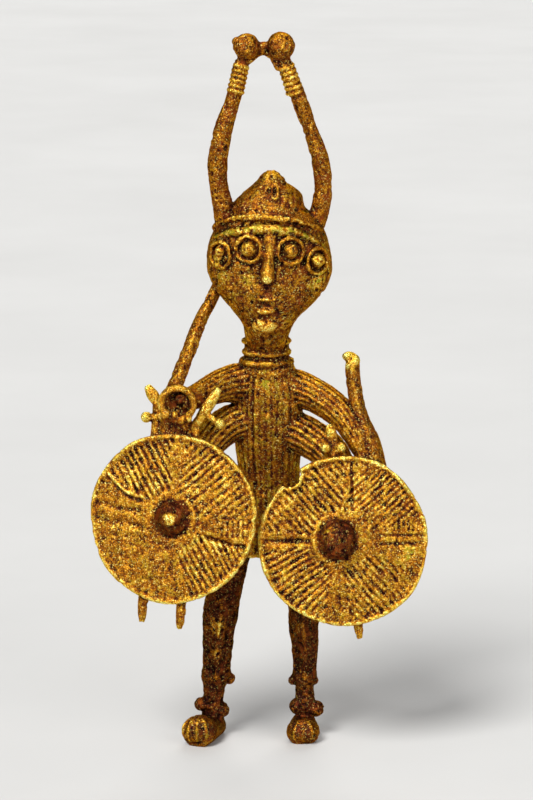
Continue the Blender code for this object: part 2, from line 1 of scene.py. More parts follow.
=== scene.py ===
"""Nuragic bronze figure: the casting's relief and weathered skin, on a pale floor in soft studio light.

Forms are laid out in millimetres round the neck's axis, X to the viewer's right, -Y to the front and +Z up,
as in the figure's solid. They are joined into one skin, which is then moved to the frame's origin and made
metres.
"""

import itertools
import logging
import math
from collections.abc import Callable
from dataclasses import dataclass, field
from enum import Enum

import bmesh
import bpy
import numpy as np
from mathutils import Matrix, Vector
from mathutils.kdtree import KDTree


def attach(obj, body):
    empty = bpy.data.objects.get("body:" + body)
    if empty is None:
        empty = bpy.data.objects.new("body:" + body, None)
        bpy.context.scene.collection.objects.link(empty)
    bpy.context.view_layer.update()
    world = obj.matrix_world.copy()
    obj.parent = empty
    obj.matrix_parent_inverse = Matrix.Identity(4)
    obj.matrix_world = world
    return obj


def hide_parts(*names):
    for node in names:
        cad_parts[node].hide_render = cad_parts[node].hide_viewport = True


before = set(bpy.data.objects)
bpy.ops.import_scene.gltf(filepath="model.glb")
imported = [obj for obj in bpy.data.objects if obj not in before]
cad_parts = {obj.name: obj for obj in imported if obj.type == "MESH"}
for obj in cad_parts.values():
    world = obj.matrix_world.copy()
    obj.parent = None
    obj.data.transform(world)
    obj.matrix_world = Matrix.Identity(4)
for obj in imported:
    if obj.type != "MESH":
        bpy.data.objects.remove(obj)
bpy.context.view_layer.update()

LOG = logging.getLogger("figure")

MM = 0.001
ORIGIN_SHIFT = Vector((1.911, 6.934, 0.0))
IDENTITY = Matrix.Identity(4)
X_AXIS = Vector((1, 0, 0))
Y_AXIS = Vector((0, 1, 0))
Z_AXIS = Vector((0, 0, 1))

Shape = Callable[[float, float], float]
Point = tuple[float, float, float]
Socket = bpy.types.NodeSocket


class Skin(Enum):
    """How a form has weathered: worn gold, ruddiness and olive bloom from 0 to 1, and pitting, usually 1."""

    FACE = (0.50, 0.50, 0.40, 1.20)
    FEATURE = (0.50, 0.50, 0.30, 0.90)
    EYE_RING = (0.36, 0.80, 0.25, 1.00)
    EYE_BALL = (0.52, 0.50, 0.35, 0.90)
    BROW = (0.62, 0.20, 0.90, 1.40)
    NOSE = (0.56, 0.90, 0.00, 0.60)
    LIP = (0.44, 0.85, 0.10, 0.90)
    CHIN = (0.74, 0.30, 0.15, 1.40)
    CAP = (0.33, 0.80, 0.25, 1.40)
    HORN = (0.43, 0.85, 0.15, 1.10)
    WIRE = (0.58, 0.50, 0.20, 0.50)
    COLLAR = (0.43, 0.40, 0.40, 1.10)
    TUNIC = (0.50, 0.30, 0.65, 0.70)
    SLEEVE = (0.52, 0.35, 0.35, 0.60)
    HAND = (0.55, 0.40, 0.35, 0.60)
    BLADE = (0.47, 0.50, 0.30, 0.80)
    HILT = (0.76, 0.25, 0.40, 0.50)
    SHIELD = (0.66, 0.30, 0.40, 0.75)
    BOSS = (0.10, 0.75, 0.40, 1.50)
    # The legs' dark, barely worn skin is partly dark oxide and partly the shields' shadow painted on; the
    # shin's ridge is darkened with them for the same painted shadow.
    LEG = (0.06, 0.45, 0.10, 1.75)
    GREAVE_RIDGE = (0.14, 0.50, 0.10, 1.80)
    FOOT = (0.22, 0.45, 0.30, 0.90)
    TOE = (0.38, 0.35, 0.55, 0.50)


def between(rows: list, steps: int) -> list[Vector]:
    """Catmull-Rom values between rows of numbers.

    Args:
        rows: The rows to pass through, all of one length.
        steps: Steps to each span.

    Returns:
        The rows with the steps between them.
    """
    rows = [Vector(row) for row in rows]
    ends = [rows[0] * 2 - rows[1], *rows, rows[-1] * 2 - rows[-2]]
    found = []
    for i in range(len(rows) - 1):
        a, b, c, d = ends[i : i + 4]
        for k in range(steps):
            t = k / steps
            bend = (2 * a - 5 * b + 4 * c - d) * t**2 + (3 * b - a - 3 * c + d) * t**3
            found.append(0.5 * (2 * b + (c - a) * t + bend))
    found.append(rows[-1])
    return found


def section_frame(
    centre: Vector, along: Vector, across: Vector, half_width: float, half_depth: float
) -> Matrix:
    """Matrix from the unit circle to an ellipse square to along.

    Args:
        centre: The ellipse's middle.
        along: The way the form runs there.
        across: The way that its width points.
        half_width: Half the ellipse's width.
        half_depth: Half its depth.

    Returns:
        The matrix.
    """
    normal = along.normalized()
    side = (across - normal * across.dot(normal)).normalized()
    made = Matrix((side * half_width, normal.cross(side) * half_depth, normal)).transposed().to_4x4()
    made.translation = centre
    return made


def facing(direction: Vector) -> Matrix:
    """Rotation that turns +Z towards direction and keeps +Y as near upright as it can.

    Args:
        direction: The way to face.

    Returns:
        The rotation.
    """
    out = direction.normalized()
    right = Z_AXIS.cross(out).normalized()
    return Matrix((right, out.cross(right), out)).transposed()


def ridged(count: float, depth: float, start: float = 0.0) -> Shape:
    """Rounded ridges round a section, with narrow grooves between them.

    Args:
        count: Ridges round the whole section.
        depth: Depth of a groove as a share of the radius.
        start: Angle that the pattern is turned by.

    Returns:
        The shape, which scales the radius.
    """
    return lambda angle, _share: 1 - depth * (1 - abs(math.cos(count * (angle - start) / 2)) ** 0.6)


def faceted(power: float) -> Shape:
    """A section between a diamond at power 1 and an ellipse at power 2, with edges at its front and sides.

    Args:
        power: How square the section is.

    Returns:
        The shape, which scales the radius.
    """
    return lambda angle, _share: (
        (abs(math.cos(angle)) ** power + abs(math.sin(angle)) ** power) ** (-1 / power)
    )


def step(low: float, high: float, values: np.ndarray) -> np.ndarray:
    """Smooth step from 0 at low to 1 at high."""
    share = np.clip((values - low) / (high - low), 0, 1)
    return share * share * (3 - 2 * share)


@dataclass
class Grain:
    """Smooth random values over space, from a seeded lattice.

    Attributes:
        pitch: Size of the lattice's cells in millimetres.
        seed: Seed of its values.
    """

    pitch: float
    seed: int

    def at(self, points: np.ndarray) -> np.ndarray:
        """The values from 0 to 1 at points, given as rows of x, y and z.

        Args:
            points: The points.

        Returns:
            The values, one a point.
        """
        lattice = np.random.default_rng(self.seed).random((32, 32, 32))
        cells = points / self.pitch
        low = np.floor(cells).astype(int)
        share = cells - low
        share = share * share * (3 - 2 * share)
        total = np.zeros(len(points))
        for corner in itertools.product((0, 1), repeat=3):
            weight = np.prod(np.where(np.array(corner) == 1, share, 1 - share), axis=1)
            place = (low + corner) % 32
            total += weight * lattice[place[:, 0], place[:, 1], place[:, 2]]
        return total


@dataclass
class Wax:
    """The forms of the casting as they are laid up, in millimetres.

    Attributes:
        bm: All the forms together.
        skins: The skin of each form and how many points it has, in order.
    """

    bm: bmesh.types.BMesh = field(default_factory=bmesh.new)
    skins: list[tuple[Skin, int]] = field(default_factory=list)

    def add(self, form: bmesh.types.BMesh, skin: Skin, place: Matrix = IDENTITY) -> None:
        """Adds a closed form, which is used up.

        Args:
            form: The form.
            skin: Its weathering.
            place: Matrix from the form's own frame.
        """
        bmesh.ops.transform(form, matrix=place, verts=form.verts)
        bmesh.ops.recalc_face_normals(form, faces=form.faces)
        mesh = bpy.data.meshes.new("form")
        form.to_mesh(mesh)
        form.free()
        self.skins.append((skin, len(mesh.vertices)))
        self.bm.from_mesh(mesh)
        bpy.data.meshes.remove(mesh)

    def loft(
        self,
        sections: list,
        sides: int,
        skin: Skin,
        steps: int = 4,
        along: Vector | None = None,
        across: Vector = X_AXIS,
        shape: Shape | None = None,
        place: Matrix = IDENTITY,
    ) -> None:
        """Adds a closed form through elliptical sections.

        Args:
            sections: Rows of x, y, z, half width and half depth.
            sides: Points round each section.
            skin: Its weathering.
            steps: Steps between two sections.
            along: The way that every section faces, where they don't stand square to the path.
            across: The way that the width points.
            shape: Scales the radius by angle from across and share of the path. -90 degrees is the front.
            place: Matrix from the form's own frame.
        """
        rows = between(sections, steps)
        centres = [Vector(row[:3]) for row in rows]
        frames = []
        for i, row in enumerate(rows):
            way = along or centres[min(i + 1, len(rows) - 1)] - centres[max(i - 1, 0)]
            frames.append(section_frame(centres[i], way, across, max(row[3], 0.05), max(row[4], 0.05)))
        form = bmesh.new()
        bmesh.ops.create_circle(form, segments=sides, radius=1.0, matrix=frames[0])
        rings = [list(form.verts)]
        edges = list(form.edges)
        bmesh.ops.contextual_create(form, geom=edges)
        for before, after in zip(frames, frames[1:]):
            made = bmesh.ops.extrude_edge_only(form, edges=edges)["geom"]
            ring = [part for part in made if isinstance(part, bmesh.types.BMVert)]
            here = set(ring)
            links = [part for part in made if isinstance(part, bmesh.types.BMEdge)]
            edges = [edge for edge in links if set(edge.verts) <= here]
            bmesh.ops.transform(form, matrix=after @ before.inverted(), verts=ring)
            rings.append(ring)
        bmesh.ops.contextual_create(form, geom=edges)
        if shape:
            for count, (own, ring) in enumerate(zip(frames, rings)):
                inverse = own.inverted()
                share = count / (len(rings) - 1)
                for vert in ring:
                    local = inverse @ vert.co
                    scale = shape(math.atan2(local.y, local.x), share)
                    vert.co = own @ Vector((local.x * scale, local.y * scale, local.z))
        self.add(form, skin, place)

    def tube(
        self,
        path: list,
        skin: Skin,
        sides: int = 24,
        steps: int = 6,
        flat: float = 1.0,
        across: Vector = Z_AXIS,
        shape: Shape | None = None,
        place: Matrix = IDENTITY,
    ) -> None:
        """Adds a bar with rounded ends.

        Args:
            path: Its axis and radius, as rows of x, y, z and radius.
            skin: Its weathering.
            sides: Points round it.
            steps: Steps between two points.
            flat: Its depth as a share of its width.
            across: The way that its width points.
            shape: Scales the radius, as in loft.
            place: Matrix from the bar's own frame.
        """
        rows = [(*row, row[3] * flat) for row in path]
        rows = [self.cap(rows[0], rows[1]), *rows, self.cap(rows[-1], rows[-2])]
        self.loft(rows, sides, skin, steps, across=across, shape=shape, place=place)

    def cap(self, end: tuple, inner: tuple) -> tuple:
        """The smaller section beyond a bar's end that rounds it.

        Args:
            end: The bar's last section.
            inner: The section before it.

        Returns:
            The section, as x, y, z, half width and half depth.
        """
        tip = Vector(end[:3])
        beyond = tip + (tip - Vector(inner[:3])).normalized() * end[3] * 0.45
        return (*beyond, end[3] * 0.75, end[4] * 0.75)

    def ball(
        self, centre: Point, radii: Point, skin: Skin, turn: Matrix | None = None, place: Matrix = IDENTITY
    ) -> None:
        """Adds an ellipsoid.

        Args:
            centre: Its middle.
            radii: Its three radii.
            skin: Its weathering.
            turn: Rotation of its axes.
            place: Matrix from the ball's own frame.
        """
        form = bmesh.new()
        turned = Matrix.Translation(centre) @ (turn or Matrix.Identity(3)).to_4x4()
        own = turned @ Matrix.Diagonal((*radii, 1))
        bmesh.ops.create_icosphere(form, subdivisions=4, radius=1.0, matrix=own)
        self.add(form, skin, place)

    def turned(self, profile: list, skin: Skin, place: Matrix, stretch: float = 1.0) -> None:
        """Adds a form turned round the +Z axis of its place.

        Args:
            profile: Pairs of radius and height.
            skin: Its weathering.
            place: Matrix from the form's own frame.
            stretch: Its size along Y as a share of that along X.
        """
        rows = [(0, 0, height, radius, radius * stretch) for radius, height in profile]
        self.loft(rows, 64, skin, 3, along=Z_AXIS, place=place)

    def hoop(
        self,
        centre: Point,
        turn: Matrix,
        radii: tuple[float, float],
        wire: float,
        skin: Skin,
        place: Matrix = IDENTITY,
    ) -> None:
        """Adds a closed ring of round wire, elliptical in its own plane.

        Args:
            centre: Its middle.
            turn: Rotation of its plane, whose normal is +Z.
            radii: The two radii of the wire's centre line.
            wire: The wire's radius.
            skin: Its weathering.
            place: Matrix from the ring's own frame.
        """
        form = bmesh.new()
        start = 2 * wire
        circle = Matrix.Translation((start, 0, 0)) @ Matrix.Rotation(math.pi / 2, 4, "X")
        bmesh.ops.create_circle(form, segments=12, radius=wire, matrix=circle)
        around = max(32, int(max(radii) * 8))
        geom = form.verts[:] + form.edges[:]
        bmesh.ops.spin(
            form, geom=geom, axis=Z_AXIS, cent=(0, 0, 0), angle=math.tau, steps=around, use_merge=True
        )
        for vert in form.verts:
            rim = Vector((vert.co.x, vert.co.y, 0)).normalized()
            vert.co += Vector((rim.x * (radii[0] - start), rim.y * (radii[1] - start), 0))
        self.add(form, skin, place @ Matrix.Translation(centre) @ turn.to_4x4())


@dataclass
class Head:
    """Pear-shaped head in a pointed cap, with a T of brow and nose, four ringed eyes, lips and a chin knob.

    Attributes:
        middle_x: Where the head's middle lies across.
        roll: Its lean in degrees.
        brim_tilt: Tilt of the cap's brim in degrees.
        brim_z: Height of its middle.
        brim_radii: Radii of its wire's centre line.
        brim_wire: Radius of the wire.
        bead_step: Degrees from one of its beads to the next.
        eye_ring: Radius of an eye's ring to its outer edge.
        eye_wire: Radius of the ring's wire.
        eye_ball: Radius of an eye's ball.
        brow_z: Height of the brow at the nose.
        nose_z: Height of the nose's tip.
        mouth_z: Height of the mouth.
        chin_z: Height of the chin.
        sections: The head and cap as x, y, z, half width and half depth.
        eyes: The eyes' x and z.
        pellets: The small balls of the outer left eye, as place to the right, place up and radius.
        brow: The brow band as x, z and radius.
    """

    middle_x: float = 0.75
    roll: float = -4.0
    brim_tilt: float = -25.0
    brim_z: float = 137.6
    brim_radii: tuple = (14.3, 12.5)
    brim_wire: float = 0.55
    bead_step: float = 4.6
    eye_ring: float = 3.95
    eye_wire: float = 0.6
    eye_ball: float = 2.05
    brow_z: float = 139.8
    nose_z: float = 128.7
    mouth_z: float = 120.8
    chin_z: float = 114.8
    eyes: tuple = ((-4.5, 135.0), (6.1, 134.5), (-11.6, 132.9), (12.9, 131.4))
    pellets: tuple = ((0.2, 1.1, 1.4), (-0.5, -0.6, 1.3), (-0.6, -2.5, 1.0))
    brow: tuple = (
        (-13.6, 136.6, 0.7),
        (-9.0, 138.6, 1.15),
        (-4.0, 139.7, 1.35),
        (0.9, 140.0, 1.45),
        (5.6, 139.3, 1.35),
        (10.0, 137.8, 1.15),
        (14.2, 135.0, 0.7),
    )
    sections: tuple = (
        (0.3, -1.6, 106.5, 4.6, 4.2),
        (0.1, -3.0, 110.5, 5.6, 5.8),
        (0.5, -3.8, 114.0, 6.7, 7.0),
        (0.6, -3.2, 117.2, 9.2, 8.3),
        (0.8, -2.4, 120.0, 11.9, 9.5),
        (0.9, -1.6, 123.2, 14.6, 10.7),
        (0.8, -0.8, 127.0, 16.2, 11.4),
        (0.7, -0.4, 131.0, 16.3, 11.9),
        (0.6, -0.2, 135.0, 15.7, 11.8),
        (0.8, 0.1, 138.4, 14.2, 11.3),
        (0.7, 0.2, 141.4, 12.6, 10.7),
        (0.4, 0.2, 143.6, 10.1, 8.9),
        (0.7, 0.2, 145.6, 9.0, 7.9),
        (1.4, 0.2, 147.9, 7.5, 6.8),
        (1.3, 0.2, 150.3, 4.3, 4.4),
        (1.2, 0.2, 152.4, 2.7, 2.8),
        (1.0, 0.2, 153.8, 1.0, 1.1),
    )

    def surface(self, x: float, z: float) -> tuple[Vector, Vector]:
        """The point on the front of the head at x and z, and the way that the surface faces there.

        Args:
            x: Place across.
            z: Height.

        Returns:
            The point and the direction.
        """
        for low, high in zip(self.sections, self.sections[1:]):
            if low[2] <= z <= high[2]:
                share = (z - low[2]) / (high[2] - low[2])
                centre_x, centre_y, _, half_width, half_depth = Vector(low).lerp(Vector(high), share)
        side = (x - centre_x) / half_width
        y = centre_y - half_depth * math.sqrt(1 - side * side)
        out = Vector((side / half_width, (y - centre_y) / half_depth**2, 0)).normalized()
        return Vector((x, y, z)), out

    def build(self, wax: Wax) -> None:
        """Lays up the head, its face and its cap.

        Args:
            wax: The forms so far, which it adds to.
        """
        wax.loft(list(self.sections), 96, Skin.FACE, 5, along=Z_AXIS)
        self.lay_eyes(wax)
        self.lay_face(wax)
        self.lay_cap(wax)

    def lay_eyes(self, wax: Wax) -> None:
        """Rings of wire round balls. The outer left eye is a stack of smaller pellets.

        Args:
            wax: The forms so far, which it adds to.
        """
        for x, z in self.eyes:
            surface, out = self.surface(x, z)
            place = Matrix.Translation(surface) @ facing(out).to_4x4()
            ring = self.eye_ring - self.eye_wire
            wax.hoop((0, 0, 0.45), Matrix.Identity(3), (ring, ring), self.eye_wire, Skin.EYE_RING, place)
            wax.turned([(ring, -1.2), (ring, -0.1), (ring - 0.8, 0.0), (0.6, 0.0)], Skin.FACE, place)
            if x < -10:
                for right, up, radius in self.pellets:
                    wax.ball((right, up, 0.7), (radius,) * 3, Skin.EYE_BALL, place=place)
            else:
                wax.ball((0, 0, 0.25), (self.eye_ball,) * 3, Skin.EYE_BALL, place=place)

    def lay_face(self, wax: Wax) -> None:
        """Brow band, nose, lips and chin, with a small lump on the chin.

        Args:
            wax: The forms so far, which it adds to.
        """
        brow = [(*self.surface(x, z)[0], radius) for x, z, radius in self.brow]
        wax.tube(brow, Skin.BROW, 16, 5)
        nose = [
            (0.9, -10.9, self.brow_z + 0.4, 1.6, 0.8),
            (0.8, -12.0, 136.2, 1.55, 1.3),
            (0.5, -12.8, 131.6, 1.6, 1.7),
            (0.3, -13.4, self.nose_z + 0.8, 1.9, 2.1),
            (0.3, -13.0, self.nose_z - 1.6, 1.8, 1.6),
            (0.3, -12.0, self.nose_z - 2.7, 1.2, 0.9),
        ]
        wax.loft(nose, 32, Skin.FEATURE, 5, along=Z_AXIS, shape=faceted(1.6))
        wax.ball((0.2, -14.3, self.nose_z - 0.8), (1.55, 1.3, 1.6), Skin.NOSE)
        wax.ball((0.1, -12.0, self.mouth_z + 1.2), (2.5, 1.15, 0.65), Skin.FEATURE)
        wax.ball((-0.1, -11.6, self.mouth_z - 1.9), (2.6, 1.35, 1.1), Skin.LIP)
        wax.ball((-0.6, -10.3, self.chin_z), (3.4, 2.1, 2.3), Skin.CHIN)
        wax.ball((-1.5, -11.3, self.chin_z + 0.9), (1.5, 1.2, 1.1), Skin.CHIN)

    def lay_cap(self, wax: Wax) -> None:
        """The cap's banded and beaded brim, and the slotted tab below its peak.

        Args:
            wax: The forms so far, which it adds to.
        """
        roll = Matrix.Rotation(math.radians(-self.roll), 3, "Y")
        turn = roll @ Matrix.Rotation(math.radians(self.brim_tilt), 3, "X")
        brim = (self.middle_x, 0.5, self.brim_z)
        wax.hoop(brim, turn, self.brim_radii, self.brim_wire, Skin.CAP)
        own = Matrix.Translation(brim) @ turn.to_4x4()
        for count in range(-9, 7):
            angle = math.radians(-90 + count * self.bead_step)
            bead = own @ Vector((14.6 * math.cos(angle), 12.8 * math.sin(angle), 0.3))
            wax.ball(tuple(bead), (0.45, 0.45, 0.5), Skin.FEATURE)
        tab_turn = Matrix.Rotation(math.radians(-32), 3, "X") @ Matrix.Rotation(math.pi / 2, 3, "X")
        wax.hoop((2.1, -6.0, 149.0), tab_turn, (0.8, 2.3), 0.5, Skin.FEATURE)


@dataclass
class Horns:
    """Two long horns that bow outwards, wound with wire below the balls in which they meet.

    Attributes:
        ball: Radius of a ball.
        ball_z: Height of the balls' middles.
        turns: Turns of wire on each horn.
        wire: Radius of the wire.
        wire_tilt: Slope of its turns in degrees.
        left: The left horn's axis and radius.
        right: The right horn's.
        left_wrap: Lowest and highest point of the left wire.
        right_wrap: Those of the right one.
        arch: Axis and radius of the bar that joins the balls below.
    """

    ball: float = 3.7
    ball_z: float = 186.1
    turns: int = 6
    wire: float = 0.5
    wire_tilt: float = 9.0
    left: tuple = (
        (-9.4, 0.2, 137.5, 3.1),
        (-11.0, -0.6, 143.0, 2.85),
        (-12.4, -1.0, 150.0, 2.55),
        (-12.55, -1.6, 157.5, 2.65),
        (-11.0, -2.2, 165.0, 2.4),
        (-9.2, -2.6, 170.7, 2.1),
        (-8.0, -2.9, 174.5, 1.95),
        (-6.7, -3.0, 180.5, 1.9),
        (-5.5, -3.0, 184.0, 1.6),
    )
    right: tuple = (
        (11.5, 0.2, 137.5, 2.8),
        (13.7, -0.6, 143.0, 2.6),
        (14.7, -1.0, 150.0, 2.4),
        (13.7, -1.6, 157.5, 2.3),
        (11.1, -2.2, 165.0, 1.85),
        (9.1, -2.6, 170.7, 2.0),
        (7.6, -2.9, 174.5, 2.05),
        (5.2, -3.0, 180.5, 1.85),
        (4.1, -3.0, 184.0, 1.6),
    )
    left_wrap: tuple = ((-7.9, -2.9, 174.6, 1.95), (-6.5, -3.0, 180.9, 1.8))
    right_wrap: tuple = ((7.25, -2.9, 174.6, 2.0), (5.1, -3.0, 180.9, 1.8))
    arch: tuple = (
        (-4.6, -3.0, 182.4, 1.0),
        (-2.6, -2.9, 183.9, 0.95),
        (-0.7, -2.8, 184.6, 0.9),
        (1.4, -2.9, 183.4, 0.95),
        (3.2, -3.0, 180.6, 1.0),
    )

    def build(self, wax: Wax) -> None:
        """Lays up both horns, their wire and their balls.

        Args:
            wax: The forms so far, which it adds to.
        """
        for horn, wrap in ((self.left, self.left_wrap), (self.right, self.right_wrap)):
            wax.tube(list(horn), Skin.HORN, 36, 6, across=Y_AXIS)
            low, high = Vector(wrap[0]), Vector(wrap[1])
            way = facing(Vector((high - low)[:3]))
            for count in range(self.turns):
                x, y, z, radius = low.lerp(high, count / (self.turns - 1))
                tilt = Matrix.Rotation(math.radians(self.wire_tilt), 3, "Y")
                wax.hoop((x, y, z), way @ tilt, (radius, radius), self.wire, Skin.WIRE)
        ball = (self.ball, self.ball, self.ball)
        wax.ball((-5.1, -3.0, self.ball_z - 0.2), (3.5, 3.5, 3.55), Skin.HORN)
        wax.ball((-7.6, -3.4, self.ball_z + 1.4), (1.3, 1.3, 1.2), Skin.HORN)
        wax.ball((-4.6, -5.2, self.ball_z + 0.9), (1.9, 1.6, 1.2), Skin.HORN)
        wax.ball((3.75, -3.0, self.ball_z), ball, Skin.HORN)
        eye = facing(Vector((0.35, -0.93, 0.15)))
        wax.hoop((5.0, -6.1, self.ball_z + 0.1), eye, (1.0, 1.0), 0.35, Skin.FEATURE)
        wax.ball((-0.8, -2.8, self.ball_z - 0.5), (2.2, 1.4, 1.8), Skin.HORN)
        wax.tube(list(self.arch), Skin.HORN, 20, 5)


@dataclass
class Body:
    """Ribbed tunic from the hem to the shoulders, and the ringed neck.

    Attributes:
        ribs: Ribs round the whole tunic.
        rib_depth: Their depth in millimetres.
        panel_middle: Middle of the front panel, as an angle in degrees.
        panel_half: Half its width in degrees.
        boxiness: Power of the section's squareness.
        collar: The neck's rings as height, spread beyond the neck and radius of the wire.
        neck_z: Height of the neck's foot, where the tunic ends.
        neck_width: Half the neck's width.
        neck_depth: Half its depth.
        tunic: The tunic as x, y, z, half width and half depth.
        neckline: Axis and radius of the flat band at the top of the tunic.
    """

    ribs: int = 36
    rib_depth: float = 0.85
    panel_middle: float = -84.0
    panel_half: float = 33.0
    boxiness: float = 2.6
    collar: tuple = ((103.4, 0.45, 1.0), (105.9, 0.0, 0.75), (108.8, 0.0, 0.7))
    neck_z: float = 104.1
    neck_width: float = 5.9
    neck_depth: float = 5.0
    tunic: tuple = (
        (0.2, 0.4, 51.4, 12.6, 7.2),
        (0.6, 0.2, 62.0, 9.1, 6.2),
        (0.7, 0.0, 72.0, 8.2, 5.3),
        (0.4, -0.3, 82.0, 8.9, 5.8),
        (0.45, -0.4, 96.0, 9.1, 5.9),
        (0.2, -0.2, 102.6, 6.6, 4.7),
        (0.1, 0.0, 104.1, 4.8, 3.8),
    )
    neckline: tuple = (
        (-6.6, -2.4, 102.0, 0.9),
        (-3.6, -4.9, 101.3, 1.2),
        (0.3, -5.7, 100.9, 1.4),
        (4.2, -4.9, 101.3, 1.2),
        (7.2, -2.4, 102.0, 0.9),
    )

    def tunic_shape(self, angle: float, _share: float) -> float:
        """Boxy section, ribbed all round, with shallower ribs and a groove at each edge of the front panel.

        Args:
            angle: Angle from the right, in radians.

        Returns:
            The scale of the radius.
        """
        power = self.boxiness
        boxy = (abs(math.cos(angle)) ** power + abs(math.sin(angle)) ** power) ** (-1 / power)
        off = abs(math.degrees(angle) - self.panel_middle)
        inside = 0.7 + 0.3 * min(max((off - self.panel_half) / 3, 0), 1)
        groove = 1 - abs(math.cos(self.ribs * angle / 2)) ** 0.4
        border = math.exp(-(((off - self.panel_half) / 2.2) ** 2))
        return boxy * (1 - self.rib_depth / 7.5 * (groove * inside + 0.8 * border))

    def build(self, wax: Wax) -> None:
        """Lays up the tunic, the neck with its rings and the neckline.

        Args:
            wax: The forms so far, which it adds to.
        """
        wax.loft(list(self.tunic), 300, Skin.TUNIC, 6, along=Z_AXIS, shape=self.tunic_shape)
        neck = [
            (0.0, -0.2, 98.0, 5.0, 4.0),
            (0.0, -0.3, self.neck_z, self.neck_width, self.neck_depth),
            (0.1, -0.5, 109.4, self.neck_width - 0.2, self.neck_depth - 0.2),
            (0.4, -1.6, 114.8, 5.0, 4.6),
        ]
        wax.loft(neck, 64, Skin.COLLAR, 6, along=Z_AXIS)
        for height, spread, wire in self.collar:
            radii = (self.neck_width + spread, self.neck_depth + spread)
            wax.hoop((0.0, -0.3, height), Matrix.Identity(3), radii, wire, Skin.COLLAR)
        wax.tube(list(self.neckline), Skin.COLLAR, 24, 5, 0.4)


@dataclass
class Arms:
    """Four corded arms: the upper pair to the swords, the lower pair to the backs of the shields.

    Attributes:
        cords: Lengthwise ridges round a sleeve.
        cord_depth: Their depth as a share of the radius.
        fist: Middle of the left fist's ring.
        fist_profile: Radius and height of the left fist, seen from the side.
        fingers: Its fingers' ends, as place to the right, place up and radius.
        wrist: Axis and radius of the left wrist.
        upper_left: Axis and radius of the arm that holds the left sword.
        upper_right: Those of the arm that holds the right sword.
        lower_left: Those of the arm behind the left shield.
        lower_right: Those of the arm behind the right shield.
    """

    cords: int = 18
    cord_depth: float = 0.16
    fist: Point = (-23.0, -16.0, 95.4)
    fist_profile: tuple = (
        (2.6, -3.2),
        (4.3, -1.9),
        (4.9, -0.2),
        (4.4, 0.4),
        (3.6, -0.4),
        (2.4, -0.9),
        (0.5, -0.9),
    )
    fingers: tuple = ((-3.0, -2.5, 1.4), (-0.8, -2.8, 1.1), (1.0, -4.3, 1.0), (2.8, -3.8, 1.0))
    wrist: tuple = ((-23.3, -13.6, 94.0, 3.0), (-23.5, -13.0, 89.5, 4.3), (-23.7, -13.2, 85.2, 3.8))
    upper_left: tuple = (
        (-5.5, 0.2, 97.4, 5.7),
        (-11.5, -3.4, 97.4, 4.6),
        (-17.2, -9.6, 96.2, 3.6),
        (-21.6, -14.2, 95.6, 2.7),
    )
    upper_right: tuple = (
        (7.0, 0.2, 96.3, 4.9),
        (14.0, -3.2, 94.0, 4.5),
        (19.9, -7.2, 90.3, 4.1),
        (23.4, -10.2, 85.6, 3.4),
        (25.8, -12.0, 80.2, 2.7),
    )
    lower_left: tuple = (
        (-4.5, 0.0, 87.6, 5.2),
        (-11.0, -3.4, 86.2, 5.0),
        (-17.4, -8.6, 80.4, 4.2),
        (-22.4, -14.2, 71.6, 3.1),
        (-24.2, -18.6, 67.0, 2.8),
    )
    lower_right: tuple = (
        (5.8, 0.1, 84.8, 5.5),
        (12.0, -3.6, 82.9, 5.3),
        (17.8, -8.8, 79.0, 4.7),
        (20.2, -14.0, 71.0, 3.7),
        (18.4, -18.4, 62.4, 2.8),
    )

    def build(self, wax: Wax) -> None:
        """Lays up the four sleeves and both fists.

        Args:
            wax: The forms so far, which it adds to.
        """
        corded = ridged(self.cords, self.cord_depth)
        for arm in (self.upper_left, self.upper_right, self.lower_left, self.lower_right):
            wax.tube(list(arm), Skin.SLEEVE, 180, 8, shape=corded)
        self.lay_left_fist(wax)
        wax.ball((26.6, -12.2, 79.0), (3.1, 2.8, 3.3), Skin.HAND)

    def lay_left_fist(self, wax: Wax) -> None:
        """A ring of fingers round the sword's pommel, over the wrist that leans on the shield.

        Args:
            wax: The forms so far, which it adds to.
        """
        place = Matrix.Translation(self.fist) @ facing(-Y_AXIS).to_4x4()
        wax.turned(list(self.fist_profile), Skin.HAND, place)
        wax.hoop((0, 0, 0.6), Matrix.Identity(3), (4.15, 4.15), 1.0, Skin.HAND, place)
        wax.ball((0.8, 1.0, -0.3), (1.5, 1.5, 1.5), Skin.BOSS, place=place)
        for right, up, radius in self.fingers:
            wax.ball((right, up, 1.0), (radius,) * 3, Skin.HAND, place=place)
        corded = ridged(self.cords, self.cord_depth)
        wax.tube(list(self.wrist), Skin.SLEEVE, 144, 8, 0.6, X_AXIS, corded)


@dataclass
class Swords:
    """The left sword leans back against the cheek. The right one is broken off short above the hand.

    Attributes:
        left: The left blade's axis and radius, from the fist up.
        right: The right blade's.
    """

    left: tuple = (
        (-24.4, -13.6, 97.6, 2.1),
        (-20.3, -8.2, 107.2, 2.05),
        (-17.2, -2.6, 114.6, 1.9),
        (-14.4, 0.6, 119.6, 1.85),
        (-11.2, 4.0, 126.0, 1.5),
    )
    right: tuple = (
        (28.6, -12.0, 76.8, 2.9),
        (27.2, -11.4, 83.4, 2.6),
        (24.3, -9.0, 91.0, 2.15),
        (22.65, -7.0, 99.5, 1.95),
        (22.4, -6.2, 104.8, 1.8),
    )

    def build(self, wax: Wax) -> None:
        """Lays up both blades.

        Args:
            wax: The forms so far, which it adds to.
        """
        wax.tube(list(self.left), Skin.BLADE, 32, 8, 0.8, X_AXIS, faceted(1.25))
        wax.tube(list(self.right), Skin.BLADE, 32, 8, 1.0, X_AXIS, faceted(1.6))
        wax.ball((21.5, -6.2, 105.8), (1.9, 1.4, 1.3), Skin.HILT)
        wax.ball((22.9, -6.7, 104.8), (1.5, 1.5, 1.7), Skin.HILT)
        wax.ball((21.7, -7.0, 103.2), (1.2, 1.2, 1.3), Skin.HILT)


